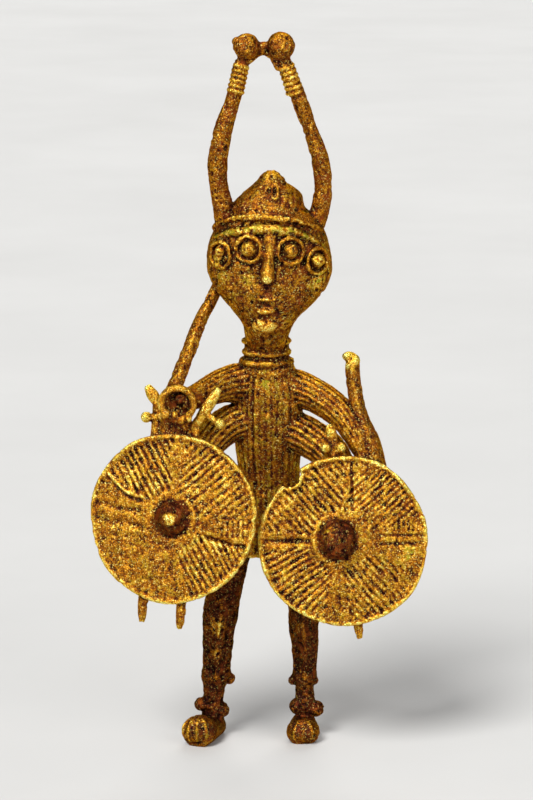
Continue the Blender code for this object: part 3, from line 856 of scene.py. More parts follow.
@dataclass(frozen=True)
class Grooves:
    """Parallel grooves over part of a shield's face.

    Attributes:
        direction: The way they run, in degrees from the right, anticlockwise.
        pitch: Distance between two grooves.
        depth: Their depth.
        sector: The first and last angle round the boss that they cover.
        reach: The nearest and farthest distance from the boss.
        fan: Where they would all meet, from the boss, where they aren't parallel.
    """

    direction: float
    pitch: float
    depth: float
    sector: tuple[float, float]
    reach: tuple[float, float]
    fan: tuple[float, float] | None = None


@dataclass(frozen=True)
class Stroke:
    """A raised or sunk line over a shield's face.

    Attributes:
        points: Its points in the shield's own frame.
        width: Half its width.
        height: How far it stands out, or lies sunk where negative.
    """

    points: tuple
    width: float
    height: float


@dataclass(frozen=True)
class Notches:
    """A row of short upright notches over a part of a shield's face.

    Attributes:
        box: Left, bottom, right and top of that part.
        pitch: Distance between two notches.
        depth: Their depth.
    """

    box: tuple[float, float, float, float]
    pitch: float
    depth: float


@dataclass
class Shield:
    """A round shield with a boss, a ring round it, four carved quarters and a plain thin rim.

    Attributes:
        centre: Middle of its face.
        yaw: Degrees that it is turned to the viewer's right.
        boss: Middle of the boss on the face.
        boss_radii: The boss's half width and half height.
        boss_height: How far the boss stands out.
        grooves: The carved quarters.
        strokes: Ridges, dividers and cracks.
        notches: Rows of short notches.
        boss_shares: The boss's profile as shares of its radius and height.
        boss_ring: Middle and half width, in degrees, of the part of its ring that still shows.
        worn: Ellipses where the carving is worn away, as u, v, half width and half height.
        bite: Angle, half width in degrees and depth of a piece lost from the rim.
        radius: Radius of the plate.
        thick: Its thickness at the middle.
        dome: How far its middle stands out.
        tilt: Degrees that it leans back.
        rim_width: Width of the rim.
        rim_raise: How far the rim stands out.
        wobble: Unevenness of the edge.
        cells: Cells of its mesh each way.
        groove_half: Half the width of a groove.
    """

    centre: Point
    yaw: float
    boss: tuple[float, float]
    boss_radii: tuple[float, float]
    boss_height: float
    grooves: tuple[Grooves, ...]
    strokes: tuple[Stroke, ...]
    notches: tuple[Notches, ...]
    boss_shares: tuple
    boss_ring: tuple[float, float]
    worn: tuple = ()
    bite: tuple[float, float, float] | None = None
    radius: float = 22.1
    thick: float = 1.6
    dome: float = 1.1
    tilt: float = 11.0
    rim_width: float = 0.95
    rim_raise: float = 0.32
    wobble: float = 0.25
    cells: int = 230
    groove_half: float = 0.3

    def place(self) -> Matrix:
        """Matrix from the shield's own frame, with +Z out of its face, to the figure's.

        Returns:
            The matrix.
        """
        tilt, yaw = math.radians(self.tilt), math.radians(self.yaw)
        out = Vector((math.sin(yaw) * math.cos(tilt), -math.cos(yaw) * math.cos(tilt), math.sin(tilt)))
        return Matrix.Translation(self.centre) @ facing(out).to_4x4()

    def outline(self, angle: np.ndarray) -> np.ndarray:
        """Radius of the edge at each angle in radians.

        Args:
            angle: The angles.

        Returns:
            The radii.
        """
        edge = self.radius + self.wobble * (np.sin(3 * angle + self.yaw) + 0.5 * np.sin(7 * angle))
        if self.bite:
            middle, half, depth = self.bite
            off = np.abs(np.degrees(angle) % 360 - middle)
            edge -= depth * (1 - step(half * 0.75, half, off)) * (1 + 0.25 * np.sin(off * 0.9))
        return edge

    def off_line(self, right: np.ndarray, up: np.ndarray, band: Grooves) -> np.ndarray:
        """Distance across the grooves of a band, from places measured from the boss.

        Args:
            right: Places to the right of the boss.
            up: Places above it.
            band: The grooves.

        Returns:
            The distances.
        """
        if band.fan:
            distance = math.hypot(*band.fan) + sum(band.reach) / 2
            return distance * np.arctan2(band.fan[1] - up, band.fan[0] - right)
        turn = math.radians(band.direction)
        return math.cos(turn) * up - math.sin(turn) * right

    def carving(self, u: np.ndarray, v: np.ndarray) -> np.ndarray:
        """Height of the carved quarters, strokes and notches over the face.

        Args:
            u: Places across the face.
            v: Places up it.

        Returns:
            The heights, below zero where the face is cut.
        """
        from_boss = np.hypot(u - self.boss[0], v - self.boss[1])
        flat = np.stack([u, v, np.zeros_like(u)], axis=1)
        sway = Grain(6.0, 11).at(flat) - 0.5
        uneven = 0.6 + 0.8 * Grain(3.2, 12).at(flat)
        kept = np.ones_like(u)
        for middle_u, middle_v, half_u, half_v in self.worn:
            off = np.hypot((u - middle_u) / half_u, (v - middle_v) / half_v)
            kept *= step(0.75, 1.15, off + 0.4 * sway)
        height = np.zeros_like(u)
        for band in self.grooves:
            across = self.off_line(u - self.boss[0], v - self.boss[1], band) + 0.7 * sway
            off = np.abs((across / band.pitch + 0.5) % 1 - 0.5) * band.pitch
            angle = (np.degrees(np.arctan2(v - self.boss[1], u - self.boss[0])) - band.sector[0]) % 360
            spare = np.clip(np.minimum(angle, band.sector[1] - band.sector[0] - angle), 0, 90)
            inside = step(0.1, 0.5, from_boss * np.sin(np.radians(spare)))
            inside *= step(band.reach[0], band.reach[0] + 0.5, from_boss)
            inside *= 1 - step(band.reach[1] - 0.5, band.reach[1], from_boss)
            height -= band.depth * uneven * kept * inside * np.exp(-((off / self.groove_half) ** 2))
        for row in self.notches:
            left, bottom, right, top = row.box
            off = np.abs((u / row.pitch + 0.5) % 1 - 0.5) * row.pitch
            inside = step(left, left + 0.4, u) * (1 - step(right - 0.4, right, u))
            inside *= step(bottom, bottom + 0.4, v) * (1 - step(top - 0.4, top, v))
            height -= row.depth * inside * np.exp(-((off / self.groove_half) ** 2))
        for stroke in self.strokes:
            off = np.full_like(u, 99.0)
            for start, end in zip(stroke.points, stroke.points[1:]):
                du, dv = end[0] - start[0], end[1] - start[1]
                share = np.clip(((u - start[0]) * du + (v - start[1]) * dv) / (du * du + dv * dv), 0, 1)
                off = np.minimum(off, np.hypot(u - start[0] - share * du, v - start[1] - share * dv))
            height += stroke.height * np.exp(-((off / stroke.width) ** 2))
        return height

    def height(self, u: np.ndarray, v: np.ndarray, inset: np.ndarray) -> np.ndarray:
        """Height of the front at u and v, where inset is the distance to the edge.

        Args:
            u: Places across the face.
            v: Places up it.
            inset: Distances to the edge.

        Returns:
            The heights.
        """
        reach = np.minimum(np.hypot(u, v) / self.radius, 1)
        squash = self.boss_radii[1] / self.boss_radii[0]
        ring = np.hypot(u - self.boss[0], (v - self.boss[1]) / squash) - self.boss_radii[0]
        field_share = step(self.rim_width + 0.2, self.rim_width + 0.7, inset) * step(1.3, 2.1, ring)
        height = self.dome * (1 - reach**2) + field_share * self.carving(u, v)
        height += self.rim_raise * (1 - step(self.rim_width - 0.2, self.rim_width + 0.35, inset))
        height -= self.rim_raise * 0.9 * (1 - step(0.0, 0.3, inset))
        ridge = 0.4 * np.exp(-(((ring - 1.0) / 0.62) ** 2)) - 0.25 * np.exp(-(((ring - 2.0) / 0.32) ** 2))
        angle = np.degrees(np.arctan2(v - self.boss[1], u - self.boss[0]))
        off = np.abs((angle - self.boss_ring[0] + 180) % 360 - 180)
        return height + ridge * (1 - 0.9 * step(self.boss_ring[1] * 0.5, self.boss_ring[1], off))

    def build(self, wax: Wax) -> None:
        """Lays up the plate and its boss.

        Args:
            wax: The forms so far, which it adds to.
        """
        form = bmesh.new()
        bmesh.ops.create_grid(form, x_segments=self.cells, y_segments=self.cells, size=1.0)
        made = bmesh.ops.extrude_face_region(form, geom=list(form.faces), use_keep_orig=True)["geom"]
        fronts = [part for part in made if isinstance(part, bmesh.types.BMVert)]
        front_set = set(fronts)
        backs = [vert for vert in form.verts if vert not in front_set]
        for verts, is_front in ((fronts, True), (backs, False)):
            square = np.array([vert.co[:2] for vert in verts])
            across, up = square[:, 0], square[:, 1]
            disc_u = across * np.sqrt(1 - up * up / 2)
            disc_v = up * np.sqrt(1 - across * across / 2)
            edge = self.outline(np.arctan2(disc_v, disc_u))
            share = np.hypot(disc_u, disc_v)
            u, v = disc_u * edge, disc_v * edge
            inset = (1 - share) * edge
            heights = self.height(u, v, inset)
            if not is_front:
                heights = self.dome * (1 - share**2) - self.thick + 0.3 * (1 - step(0.0, 0.6, inset))
            for vert, place_u, place_v, place_w in zip(verts, u, v, heights):
                vert.co = (place_u, place_v, place_w)
        wax.add(form, Skin.SHIELD, self.place())
        top = self.boss_height + self.dome
        width = self.boss_radii[0]
        profile = [(width * radius, top * height) for radius, height in self.boss_shares]
        boss_place = self.place() @ Matrix.Translation((*self.boss, 0))
        wax.turned(profile, Skin.BOSS, boss_place, self.boss_radii[1] / width)


LEFT_SHIELD = Shield(
    centre=(-24.4, -20.0, 65.8),
    yaw=-12.0,
    boss=(0.0, 0.0),
    boss_radii=(4.9, 5.1),
    boss_height=4.6,
    boss_shares=((1.0, 0.0), (0.88, 0.28), (0.70, 0.50), (0.48, 0.72), (0.26, 0.90), (0.08, 1.0)),
    boss_ring=(10.0, 60.0),
    grooves=(
        Grooves(121.0, 1.6, 0.6, (90.0, 148.0), (7.0, 20.8)),
        Grooves(42.0, 1.7, 0.5, (2.0, 82.0), (6.4, 20.8)),
        Grooves(120.0, 1.45, 0.5, (282.0, 340.0), (7.4, 20.6)),
    ),
    strokes=(
        Stroke(((-18.4, 11.8), (-14.6, 8.1), (-11.6, 5.8), (-7.9, 5.2)), 0.5, 0.6),
        Stroke(((-18.0, 10.5), (-14.4, 7.0), (-11.4, 4.8), (-8.0, 4.3)), 0.35, -0.4),
        Stroke(((-20.4, 3.0), (-17.0, 2.8), (-13.6, 1.8), (-9.0, 1.5)), 0.6, -0.4),
        Stroke(((-20.5, -0.6), (-16.5, -1.7), (-12.5, -1.5), (-8.0, -2.6)), 0.65, -0.4),
        Stroke(((9.6, -4.4), (13.6, -5.3), (16.5, -6.2), (20.4, -6.6)), 0.55, -1.1),
        Stroke(((12.0, 0.9), (20.4, 0.5)), 0.35, -0.4),
    ),
    notches=(Notches((12.0, -4.4, 20.6, 0.4), 1.35, 0.5),),
    worn=((0.6, 15.0, 2.0, 6.0),),
)

RIGHT_SHIELD = Shield(
    centre=(20.1, -20.0, 59.6),
    yaw=4.0,
    boss=(-1.9, 0.5),
    boss_radii=(4.9, 5.4),
    boss_height=3.8,
    boss_shares=((1.0, 0.0), (0.97, 0.3), (0.86, 0.55), (0.64, 0.78), (0.36, 0.93), (0.1, 1.0)),
    boss_ring=(185.0, 80.0),
    grooves=(
        Grooves(131.0, 1.55, 0.5, (79.0, 172.0), (6.4, 22.6)),
        Grooves(41.0, 1.4, 0.45, (14.0, 76.0), (7.0, 22.6)),
        Grooves(34.0, 1.65, 0.5, (188.0, 262.0), (7.4, 22.6), (25.5, 14.0)),
        Grooves(130.0, 1.55, 0.48, (278.0, 338.0), (7.6, 22.6)),
    ),
    strokes=(
        Stroke(((2.3, 20.5), (2.2, 8.4)), 0.4, -0.8),
        Stroke(((9.4, 1.4), (19.8, 1.3)), 0.35, -0.5),
        Stroke(((9.4, -0.8), (19.8, -0.7)), 0.35, -0.5),
        Stroke(((-20.2, 0.5), (-9.4, 0.3)), 0.65, -0.8),
        Stroke(((-1.4, -9.2), (-1.4, -17.6)), 0.35, -0.3),
    ),
    notches=(Notches((12.6, 1.9, 19.8, 5.4), 1.3, 0.5),),
    worn=((16.6, -4.4, 3.8, 3.0),),
    bite=(129.0, 8.5, 2.0),
)


@dataclass(frozen=True)
class SpareSword:
    """A sword cast against the back of a shield: lobed pommel, knobbed guard and a tip below the rim.

    Attributes:
        shield: The shield that it is cast against.
        grip: Top of its stem on the shield's face plane.
        tip: Its lower end.
        lobe: End of the leaf-shaped pommel.
        knobs: Where each arm of its guard starts, and the ball in which it ends.
    """

    shield: Shield
    grip: tuple[float, float]
    tip: tuple[float, float]
    lobe: tuple[float, float]
    knobs: tuple

    def build(self, wax: Wax) -> None:
        """Lays up the sword behind its shield.

        Args:
            wax: The forms so far, which it adds to.
        """
        place = self.shield.place()
        depth = -self.shield.thick - 0.55
        top, low = Vector((*self.grip, depth)), Vector((*self.tip, depth))
        blade = [(*low, 0.9), (*top.lerp(low, 0.86), 1.5), (*top.lerp(low, 0.14), 1.5), (*top, 1.3)]
        wax.tube(blade, Skin.BLADE, 28, 6, 0.75, X_AXIS, faceted(1.4), place)
        end = Vector((*self.lobe, depth))
        lobe = [(*top.lerp(end, -0.3), 0.9), (*top.lerp(end, 0.5), 1.55), (*end, 1.0)]
        wax.tube(lobe, Skin.HILT, 28, 6, 0.85, X_AXIS, None, place)
        for root, tip in self.knobs:
            stem, knob = Vector((*root, depth)), Vector((*tip, depth + 0.4))
            wax.ball(tuple(knob), (1.5, 1.5, 1.45), Skin.HILT, place=place)
            wax.tube([(*stem, 0.8), (*knob, 0.9)], Skin.HILT, 16, 4, place=place)


@dataclass(frozen=True)
class Leg:
    """A leg under the tunic: thigh, greave with a ridge down the shin, and the knobs of greave and ankle.

    Attributes:
        path: The leg's axis from the sole up to the hip.
        slim: Scale of its width.
        knobs: The ankle's knobs.
        greave_knobs: The knobs at the greave's foot.
        heel: The foot's back end on the ground.
        toe: Its front end.
        half_width: Half the foot's width.
        rise: Half the height of the foot's blunt front.
        toes: How many toes show as ridges.
        knob: Radius of an ankle's knob.
        greave_knob: Radius of a knob of the greave.
        ridge: Radius of the shin's ridge.
        greave_low: Height where the shin's ridge starts.
        greave_high: Height where it ends.
        toe_line: A toe's ridge over the foot's front, as degrees above level and radius.
        girths: Rows of height, half width and half depth.
    """

    path: tuple
    slim: float
    knobs: tuple
    greave_knobs: tuple
    heel: tuple[float, float]
    toe: tuple[float, float]
    half_width: float
    rise: float
    toes: int
    knob: float = 2.1
    greave_knob: float = 1.3
    ridge: float = 0.6
    greave_low: float = 16.3
    greave_high: float = 38.0
    toe_line: tuple = ((62, 0.3), (38, 0.42), (14, 0.48), (-12, 0.45), (-34, 0.3))
    girths: tuple = (
        (3.0, 3.1, 3.2),
        (8.0, 2.9, 3.0),
        (14.2, 3.0, 3.1),
        (15.6, 3.5, 3.6),
        (17.0, 4.0, 4.0),
        (18.2, 3.95, 4.0),
        (20.0, 3.8, 3.9),
        (28.0, 4.35, 4.4),
        (33.0, 4.75, 4.65),
        (38.0, 4.65, 4.6),
        (55.4, 5.2, 5.0),
    )

    def axis(self, z: float) -> Vector:
        """The point of the leg's axis at height z.

        Args:
            z: The height.

        Returns:
            The point.
        """
        for low, high in zip(self.path, self.path[1:]):
            if low[2] <= z <= high[2]:
                return Vector(low).lerp(Vector(high), (z - low[2]) / (high[2] - low[2]))
        return Vector(self.path[-1])

    def leg_shape(self, angle: float, share: float) -> float:
        """Hollows beside the shin's ridge.

        Args:
            angle: Angle from the right, in radians.
            share: Share of the way up the leg.

        Returns:
            The scale of the radius.
        """
        front = math.degrees(angle) + 90
        hollow = math.exp(-(((front - 38) / 15) ** 2)) + math.exp(-(((front + 38) / 15) ** 2))
        within = math.exp(-(((share - 0.7) / 0.16) ** 2))
        return 1 - 0.13 * hollow * within

    def build(self, wax: Wax) -> None:
        """Lays up the leg, its greave and its foot.

        Args:
            wax: The forms so far, which it adds to.
        """
        sections = []
        shin = []
        for z, half_width, half_depth in self.girths:
            x, y, _ = self.axis(z)
            sections.append((x, y, z, half_width * self.slim, half_depth))
            if self.greave_low <= z <= self.greave_high:
                shin.append((x, y - half_depth + 0.15, z, self.ridge))
        wax.loft(sections, 64, Skin.LEG, 4, along=Z_AXIS, shape=self.leg_shape)
        wax.tube(shin, Skin.GREAVE_RIDGE, 16, 4, across=X_AXIS)
        for centre in self.knobs:
            wax.ball(centre, (self.knob, self.knob, self.knob), Skin.LEG)
        for centre in self.greave_knobs:
            wax.ball(centre, (self.greave_knob, self.greave_knob, self.greave_knob + 0.05), Skin.LEG)
        self.lay_foot(wax)

    def lay_foot(self, wax: Wax) -> None:
        """Lays up the short foot and its toes. The sole is cut flat on the ground later.

        Args:
            wax: The forms so far, which it adds to.
        """
        back, front = Vector((*self.heel, 0)), Vector((*self.toe, 0))
        along = (front - back).normalized()
        side = along.cross(Z_AXIS)
        blunt = ((0.72, 1.0, self.rise), (0.92, 0.94, self.rise * 0.9), (1.0, 0.7, self.rise * 0.6))
        sections = []
        for share, width, height in ((0, 0.55, 2.4), (0.14, 0.72, 3.4), (0.45, 0.86, 3.7), *blunt):
            centre = back.lerp(front, share)
            sections.append((centre.x, centre.y, height * 0.8, self.half_width * width, height))
        wax.loft(sections, 48, Skin.FOOT, 5, along=along, across=side)
        blunt_end = front - along * self.rise * 0.62
        round_end = (self.half_width, self.half_width * 0.8, self.rise * 1.05)
        wax.ball((*blunt_end.xy, self.rise), round_end, Skin.FOOT)
        for count in range(self.toes):
            turn = math.radians((count - (self.toes - 1) / 2) * 130 / self.toes)
            way = along * math.cos(turn) + side * math.sin(turn)
            toe = []
            for lift, radius in self.toe_line:
                out, up = math.cos(math.radians(lift)), math.sin(math.radians(lift))
                x, y = blunt_end.x + way.x * round_end[0] * out, blunt_end.y + way.y * round_end[1] * out
                toe.append((x, y, self.rise + round_end[2] * up, radius))
            wax.tube(toe, Skin.TOE, 16, 4, across=side)


LEFT_LEG = Leg(
    path=(
        (-14.6, 0.4, 2.0),
        (-14.5, -0.1, 12.0),
        (-13.6, -0.2, 17.0),
        (-13.0, -0.6, 27.0),
        (-12.1, -0.9, 36.0),
        (-11.3, -0.7, 41.0),
        (-9.4, -0.3, 48.0),
        (-7.6, 0.2, 57.4),
    ),
    slim=1.0,
    knobs=((-17.6, -0.8, 9.2), (-12.1, -0.4, 7.6)),
    greave_knobs=((-9.8, -0.6, 16.2),),
    heel=(-13.2, 3.2),
    toe=(-18.9, -9.2),
    half_width=4.6,
    rise=3.9,
    toes=4,
)

RIGHT_LEG = Leg(
    path=(
        (10.3, 0.4, 2.0),
        (10.3, -0.2, 17.0),
        (10.2, -0.6, 28.0),
        (9.8, -0.9, 35.0),
        (8.0, 0.2, 57.4),
    ),
    slim=0.87,
    knobs=((8.1, -0.8, 8.5), (13.2, -0.8, 7.9)),
    greave_knobs=((7.1, -0.8, 15.9), (12.9, -0.8, 15.8)),
    heel=(9.9, 3.4),
    toe=(9.8, -7.4),
    half_width=4.5,
    rise=3.2,
    toes=2,
)

SPARE_SWORDS = (
    SpareSword(
        shield=LEFT_SHIELD,
        grip=(-5.5, 29.5),
        tip=(-7.6, -27.0),
        lobe=(-8.4, 33.6),
        knobs=(((-5.6, 25.8), (-8.4, 25.8)), ((-5.6, 26.2), (-3.9, 26.2))),
    ),
    SpareSword(
        shield=LEFT_SHIELD,
        grip=(4.8, 24.4),
        tip=(2.6, -28.3),
        lobe=(10.4, 33.6),
        knobs=(((6.6, 27.8), (11.3, 25.0)),),
    ),
    SpareSword(
        shield=RIGHT_SHIELD,
        grip=(-2.4, 26.4),
        tip=(4.0, -25.0),
        lobe=(-3.3, 30.0),
        knobs=(((-2.1, 24.3), (-4.3, 24.3)), ((-2.1, 24.3), (-0.5, 24.3))),
    ),
)


@dataclass(frozen=True)
class Dab:
    """A patch where the skin's colour differs: some are stains of the bronze, some are painted highlights
    and painted shadows.

    Attributes:
        centre: Its middle.
        radius: Its radius.
        worn: What it adds to the worn gold; painted highlights raise it and painted shadows lower it.
        ruddy: What it adds to the ruddiness.
        olive: What it adds to the olive bloom.
    """

    centre: Point
    radius: float
    worn: float
    ruddy: float
    olive: float


@dataclass(frozen=True)
class Bronze:
    """The finish of the casting: weathered golden bronze, its hollows darkened partly as dark oxide and
    partly as painted shade.

    Attributes:
        name: The material's name.
        tones: Stops from the darkest hollow to the brightest ridge.
        olive: Colour of the greenish bloom.
        ruddy: Colour of the red-brown oxide.
        speck: Colour of the small bright specks.
        edge: Tint of the metal seen at a low angle.
        bump: Strength of the fine relief.
    """

    name: str = "weathered_bronze_and_painted_light"
    tones: tuple = (
        (0.00, (0.018, 0.0045, 0.004)),
        (0.20, (0.066, 0.0160, 0.011)),
        (0.38, (0.175, 0.0480, 0.005)),
        (0.56, (0.400, 0.1300, 0.009)),
        (0.76, (0.720, 0.3150, 0.020)),
        (0.90, (0.950, 0.5700, 0.050)),
        (1.00, (1.000, 0.8600, 0.220)),
    )
    olive: tuple = (0.36, 0.33, 0.020)
    ruddy: tuple = (0.32, 0.070, 0.014)
    speck: tuple = (1.0, 0.84, 0.22)
    edge: tuple = (0.85, 0.58, 0.18)
    bump: float = 0.9

    def material(self) -> bpy.types.Material:
        """The material, made once.

        Returns:
            The material.
        """
        made = bpy.data.materials.new(self.name)
        made.use_nodes = True
        tree = made.node_tree
        shader = tree.nodes["Principled BSDF"]
        shader.inputs["Metallic"].default_value = 1.0
        shader.inputs["Specular Tint"].default_value = (*self.edge, 1)
        patina_and_painted_light = tree.nodes.new("ShaderNodeGroup")
        patina_and_painted_light.node_tree = self.patina_and_painted_light()
        place = tree.nodes.new("ShaderNodeTexCoord")
        scale = tree.nodes.new("ShaderNodeVectorMath")
        scale.operation = "SCALE"
        scale.inputs["Scale"].default_value = 1 / MM
        tree.links.new(place.outputs["Object"], scale.inputs[0])
        tree.links.new(scale.outputs[0], patina_and_painted_light.inputs["Place"])
        for name in ("Worn", "Ruddy", "Olive", "Hollow", "Ridge"):
            reader = tree.nodes.new("ShaderNodeAttribute")
            reader.attribute_name = name.lower()
            tree.links.new(reader.outputs["Fac"], patina_and_painted_light.inputs[name])
        tree.links.new(patina_and_painted_light.outputs["Color"], shader.inputs["Base Color"])
        tree.links.new(patina_and_painted_light.outputs["Roughness"], shader.inputs["Roughness"])
        bump = tree.nodes.new("ShaderNodeBump")
        bump.inputs["Strength"].default_value = self.bump
        bump.inputs["Distance"].default_value = 0.4 * MM
        tree.links.new(patina_and_painted_light.outputs["Height"], bump.inputs["Height"])
        tree.links.new(bump.outputs["Normal"], shader.inputs["Normal"])
        return made

    def patina_and_painted_light(self) -> bpy.types.NodeTree:
        """The group that turns the skin's values and place into colour, roughness and height.

        Returns:
            The group.
        """
        bench = Bench("patina_and_painted_light")
        place = bench.socket("Place", "NodeSocketVector")
        worn = bench.socket("Worn", "NodeSocketFloat")
        ruddy = bench.socket("Ruddy", "NodeSocketFloat")
        olive = bench.socket("Olive", "NodeSocketFloat")
        hollow = bench.socket("Hollow", "NodeSocketFloat")
        ridge = bench.socket("Ridge", "NodeSocketFloat")
        cloud = bench.noise(place, 0.28, 3, 0.6)
        mottle = bench.noise(place, 1.15, 4, 0.65)
        crumb = bench.noise(place, 2.6, 3, 0.7)
        pits = bench.cells(place, 1.7)
        tone = bench.math("MULTIPLY_ADD", worn, 0.55, 0.16)
        polish = bench.math("MULTIPLY_ADD", worn, 0.8, 0.15)
        tone = bench.math("MULTIPLY_ADD", ridge, polish, tone)
        # Darkens the hollows: partly their dark oxide, partly painted shade in creases and recesses.
        tone = bench.math("MULTIPLY_ADD", hollow, -1.05, tone)
        patchy = bench.math("MULTIPLY_ADD", worn, 1.35, 0.30)
        for grain, weight in ((cloud, 0.8), (mottle, patchy), (crumb, 1.5)):
            centred = bench.math("SUBTRACT", grain, 0.5)
            tone = bench.math("MULTIPLY_ADD", centred, weight, tone)
        pitted = bench.fade(pits, 0.32, 0.12)
        tone = bench.math("MULTIPLY_ADD", pitted, -0.16, tone)
        tone = bench.clamp(tone)
        color = bench.ramp(tone, self.tones)
        bloom = bench.fade(bench.noise(place, 0.55, 4, 0.65, 7.0), 0.44, 0.62)
        bloom = bench.math("MULTIPLY", bench.math("MULTIPLY", bloom, olive), bench.fade(tone, 0.25, 0.65))
        color = bench.mix(bloom, color, self.olive)
        rust = bench.fade(bench.noise(place, 0.42, 4, 0.65, 19.0), 0.46, 0.64)
        rust = bench.math("MULTIPLY", bench.math("MULTIPLY", rust, ruddy), 0.9)
        rust = bench.math("MULTIPLY", rust, bench.fade(tone, 0.8, 0.35))
        color = bench.mix(rust, color, self.ruddy)
        fleck = bench.fade(bench.noise(place, 2.4, 2, 0.5, 31.0), 0.60, 0.68)
        fleck = bench.math("MULTIPLY", fleck, bench.math("MULTIPLY_ADD", worn, 0.75, 0.26))
        color = bench.mix(fleck, color, self.speck)
        rough = bench.math("MULTIPLY_ADD", tone, -0.24, 0.50)
        rough = bench.math("MULTIPLY_ADD", bench.math("SUBTRACT", crumb, 0.5), 0.3, rough)
        height = bench.math("MULTIPLY_ADD", mottle, 0.9, bench.math("MULTIPLY", crumb, 0.55))
        height = bench.math("MULTIPLY_ADD", pitted, -0.45, height)
        bench.output("Color", "NodeSocketColor", color)
        bench.output("Roughness", "NodeSocketFloat", rough)
        bench.output("Height", "NodeSocketFloat", height)
        return bench.tree


class Bench:
    """Lays out one shader node group."""

    def __init__(self, name: str) -> None:
        """Starts an empty group of that name.

        Args:
            name: The group's name.
        """
        self.tree = bpy.data.node_groups.new(name, "ShaderNodeTree")
        self.entry = self.tree.nodes.new("NodeGroupInput")
        self.exit = self.tree.nodes.new("NodeGroupOutput")

    def socket(self, name: str, kind: str) -> Socket:
        """Adds a named input to the group and returns where it comes in."""
        self.tree.interface.new_socket(name, in_out="INPUT", socket_type=kind)
        return self.entry.outputs[name]

    def output(self, name: str, kind: str, value: Socket) -> None:
        """Adds a named output to the group, fed by value."""
        self.tree.interface.new_socket(name, in_out="OUTPUT", socket_type=kind)
        self.tree.links.new(value, self.exit.inputs[name])

    def feed(self, target: Socket, value: Socket | float) -> None:
        """Links a socket to target, or sets it to a number.

        Args:
            target: The input.
            value: What it gets.
        """
        if isinstance(value, (int, float)):
            target.default_value = value
        else:
            self.tree.links.new(value, target)

    def math(self, operation: str, *values: Socket | float) -> Socket:
        """Arithmetic on up to three values.

        Args:
            operation: Name of the operation.
            *values: The values.

        Returns:
            The result.
        """
        node = self.tree.nodes.new("ShaderNodeMath")
        node.operation = operation
        for target, value in zip(node.inputs, values):
            self.feed(target, value)
        return node.outputs[0]

    def clamp(self, value: Socket) -> Socket:
        """The value kept between 0 and 1.

        Args:
            value: The value.

        Returns:
            The clamped value.
        """
        node = self.tree.nodes.new("ShaderNodeClamp")
        self.feed(node.inputs["Value"], value)
        return node.outputs[0]

    def noise(self, place: Socket, scale: float, detail: float, rough: float, offset: float = 0.0) -> Socket:
        """Cloudy values from 0 to 1.

        Args:
            place: Where each value belongs.
            scale: Cells to a unit of place.
            detail: Number of finer layers.
            rough: Strength of each finer layer.
            offset: Shift of the pattern, so that two noises differ.

        Returns:
            The values.
        """
        moved = self.tree.nodes.new("ShaderNodeVectorMath")
        moved.operation = "ADD"
        self.feed(moved.inputs[0], place)
        moved.inputs[1].default_value = (offset, offset * 0.7, offset * 1.3)
        node = self.tree.nodes.new("ShaderNodeTexNoise")
        node.inputs["Scale"].default_value = scale
        node.inputs["Detail"].default_value = detail
        node.inputs["Roughness"].default_value = rough
        self.tree.links.new(moved.outputs[0], node.inputs["Vector"])
        return node.outputs[0]

    def cells(self, place: Socket, scale: float) -> Socket:
        """Distance to the nearest of scattered points, for pits.

        Args:
            place: Place in millimetres.
            scale: Points to a millimetre.

        Returns:
            The distance.
        """
        node = self.tree.nodes.new("ShaderNodeTexVoronoi")
        node.inputs["Scale"].default_value = scale
        self.feed(node.inputs["Vector"], place)
        return node.outputs["Distance"]

    def fade(self, value: Socket, low: float, high: float) -> Socket:
        """0 at low and 1 at high, smooth between, and the other way round where low is the greater.

        Args:
            value: The value.
            low: Where the result is 0.
            high: Where it is 1.

        Returns:
            The result.
        """
        node = self.tree.nodes.new("ShaderNodeMapRange")
        node.interpolation_type = "SMOOTHSTEP"
        self.feed(node.inputs["Value"], value)
        node.inputs["From Min"].default_value = min(low, high)
        node.inputs["From Max"].default_value = max(low, high)
        node.inputs["To Min"].default_value = 0.0 if low < high else 1.0
        node.inputs["To Max"].default_value = 1.0 if low < high else 0.0
        return node.outputs["Result"]

    def ramp(self, value: Socket, stops: tuple) -> Socket:
        """A colour ramp through stops of place and colour.

        Args:
            value: Place on the ramp.
            stops: The stops.

        Returns:
            The colour.
        """
        node = self.tree.nodes.new("ShaderNodeValToRGB")
        ramp = node.color_ramp
        while len(ramp.elements) < len(stops):
            ramp.elements.new(1.0)
        for element, (where, color) in zip(ramp.elements, stops):
            element.position = where
            element.color = (*color, 1)
        self.feed(node.inputs["Fac"], value)
        return node.outputs["Color"]

    def mix(self, share: Socket, color: Socket, other: tuple) -> Socket:
        """The colour with a share of another.

        Args:
            share: Share of the other.
            color: The colour.
            other: The other colour.

        Returns:
            The mixed colour.
        """
        node = self.tree.nodes.new("ShaderNodeMix")
        node.data_type = "RGBA"
        self.feed(node.inputs["Factor"], share)
        self.tree.links.new(color, node.inputs["A"])
        node.inputs["B"].default_value = (*other, 1)
        return node.outputs["Result"]


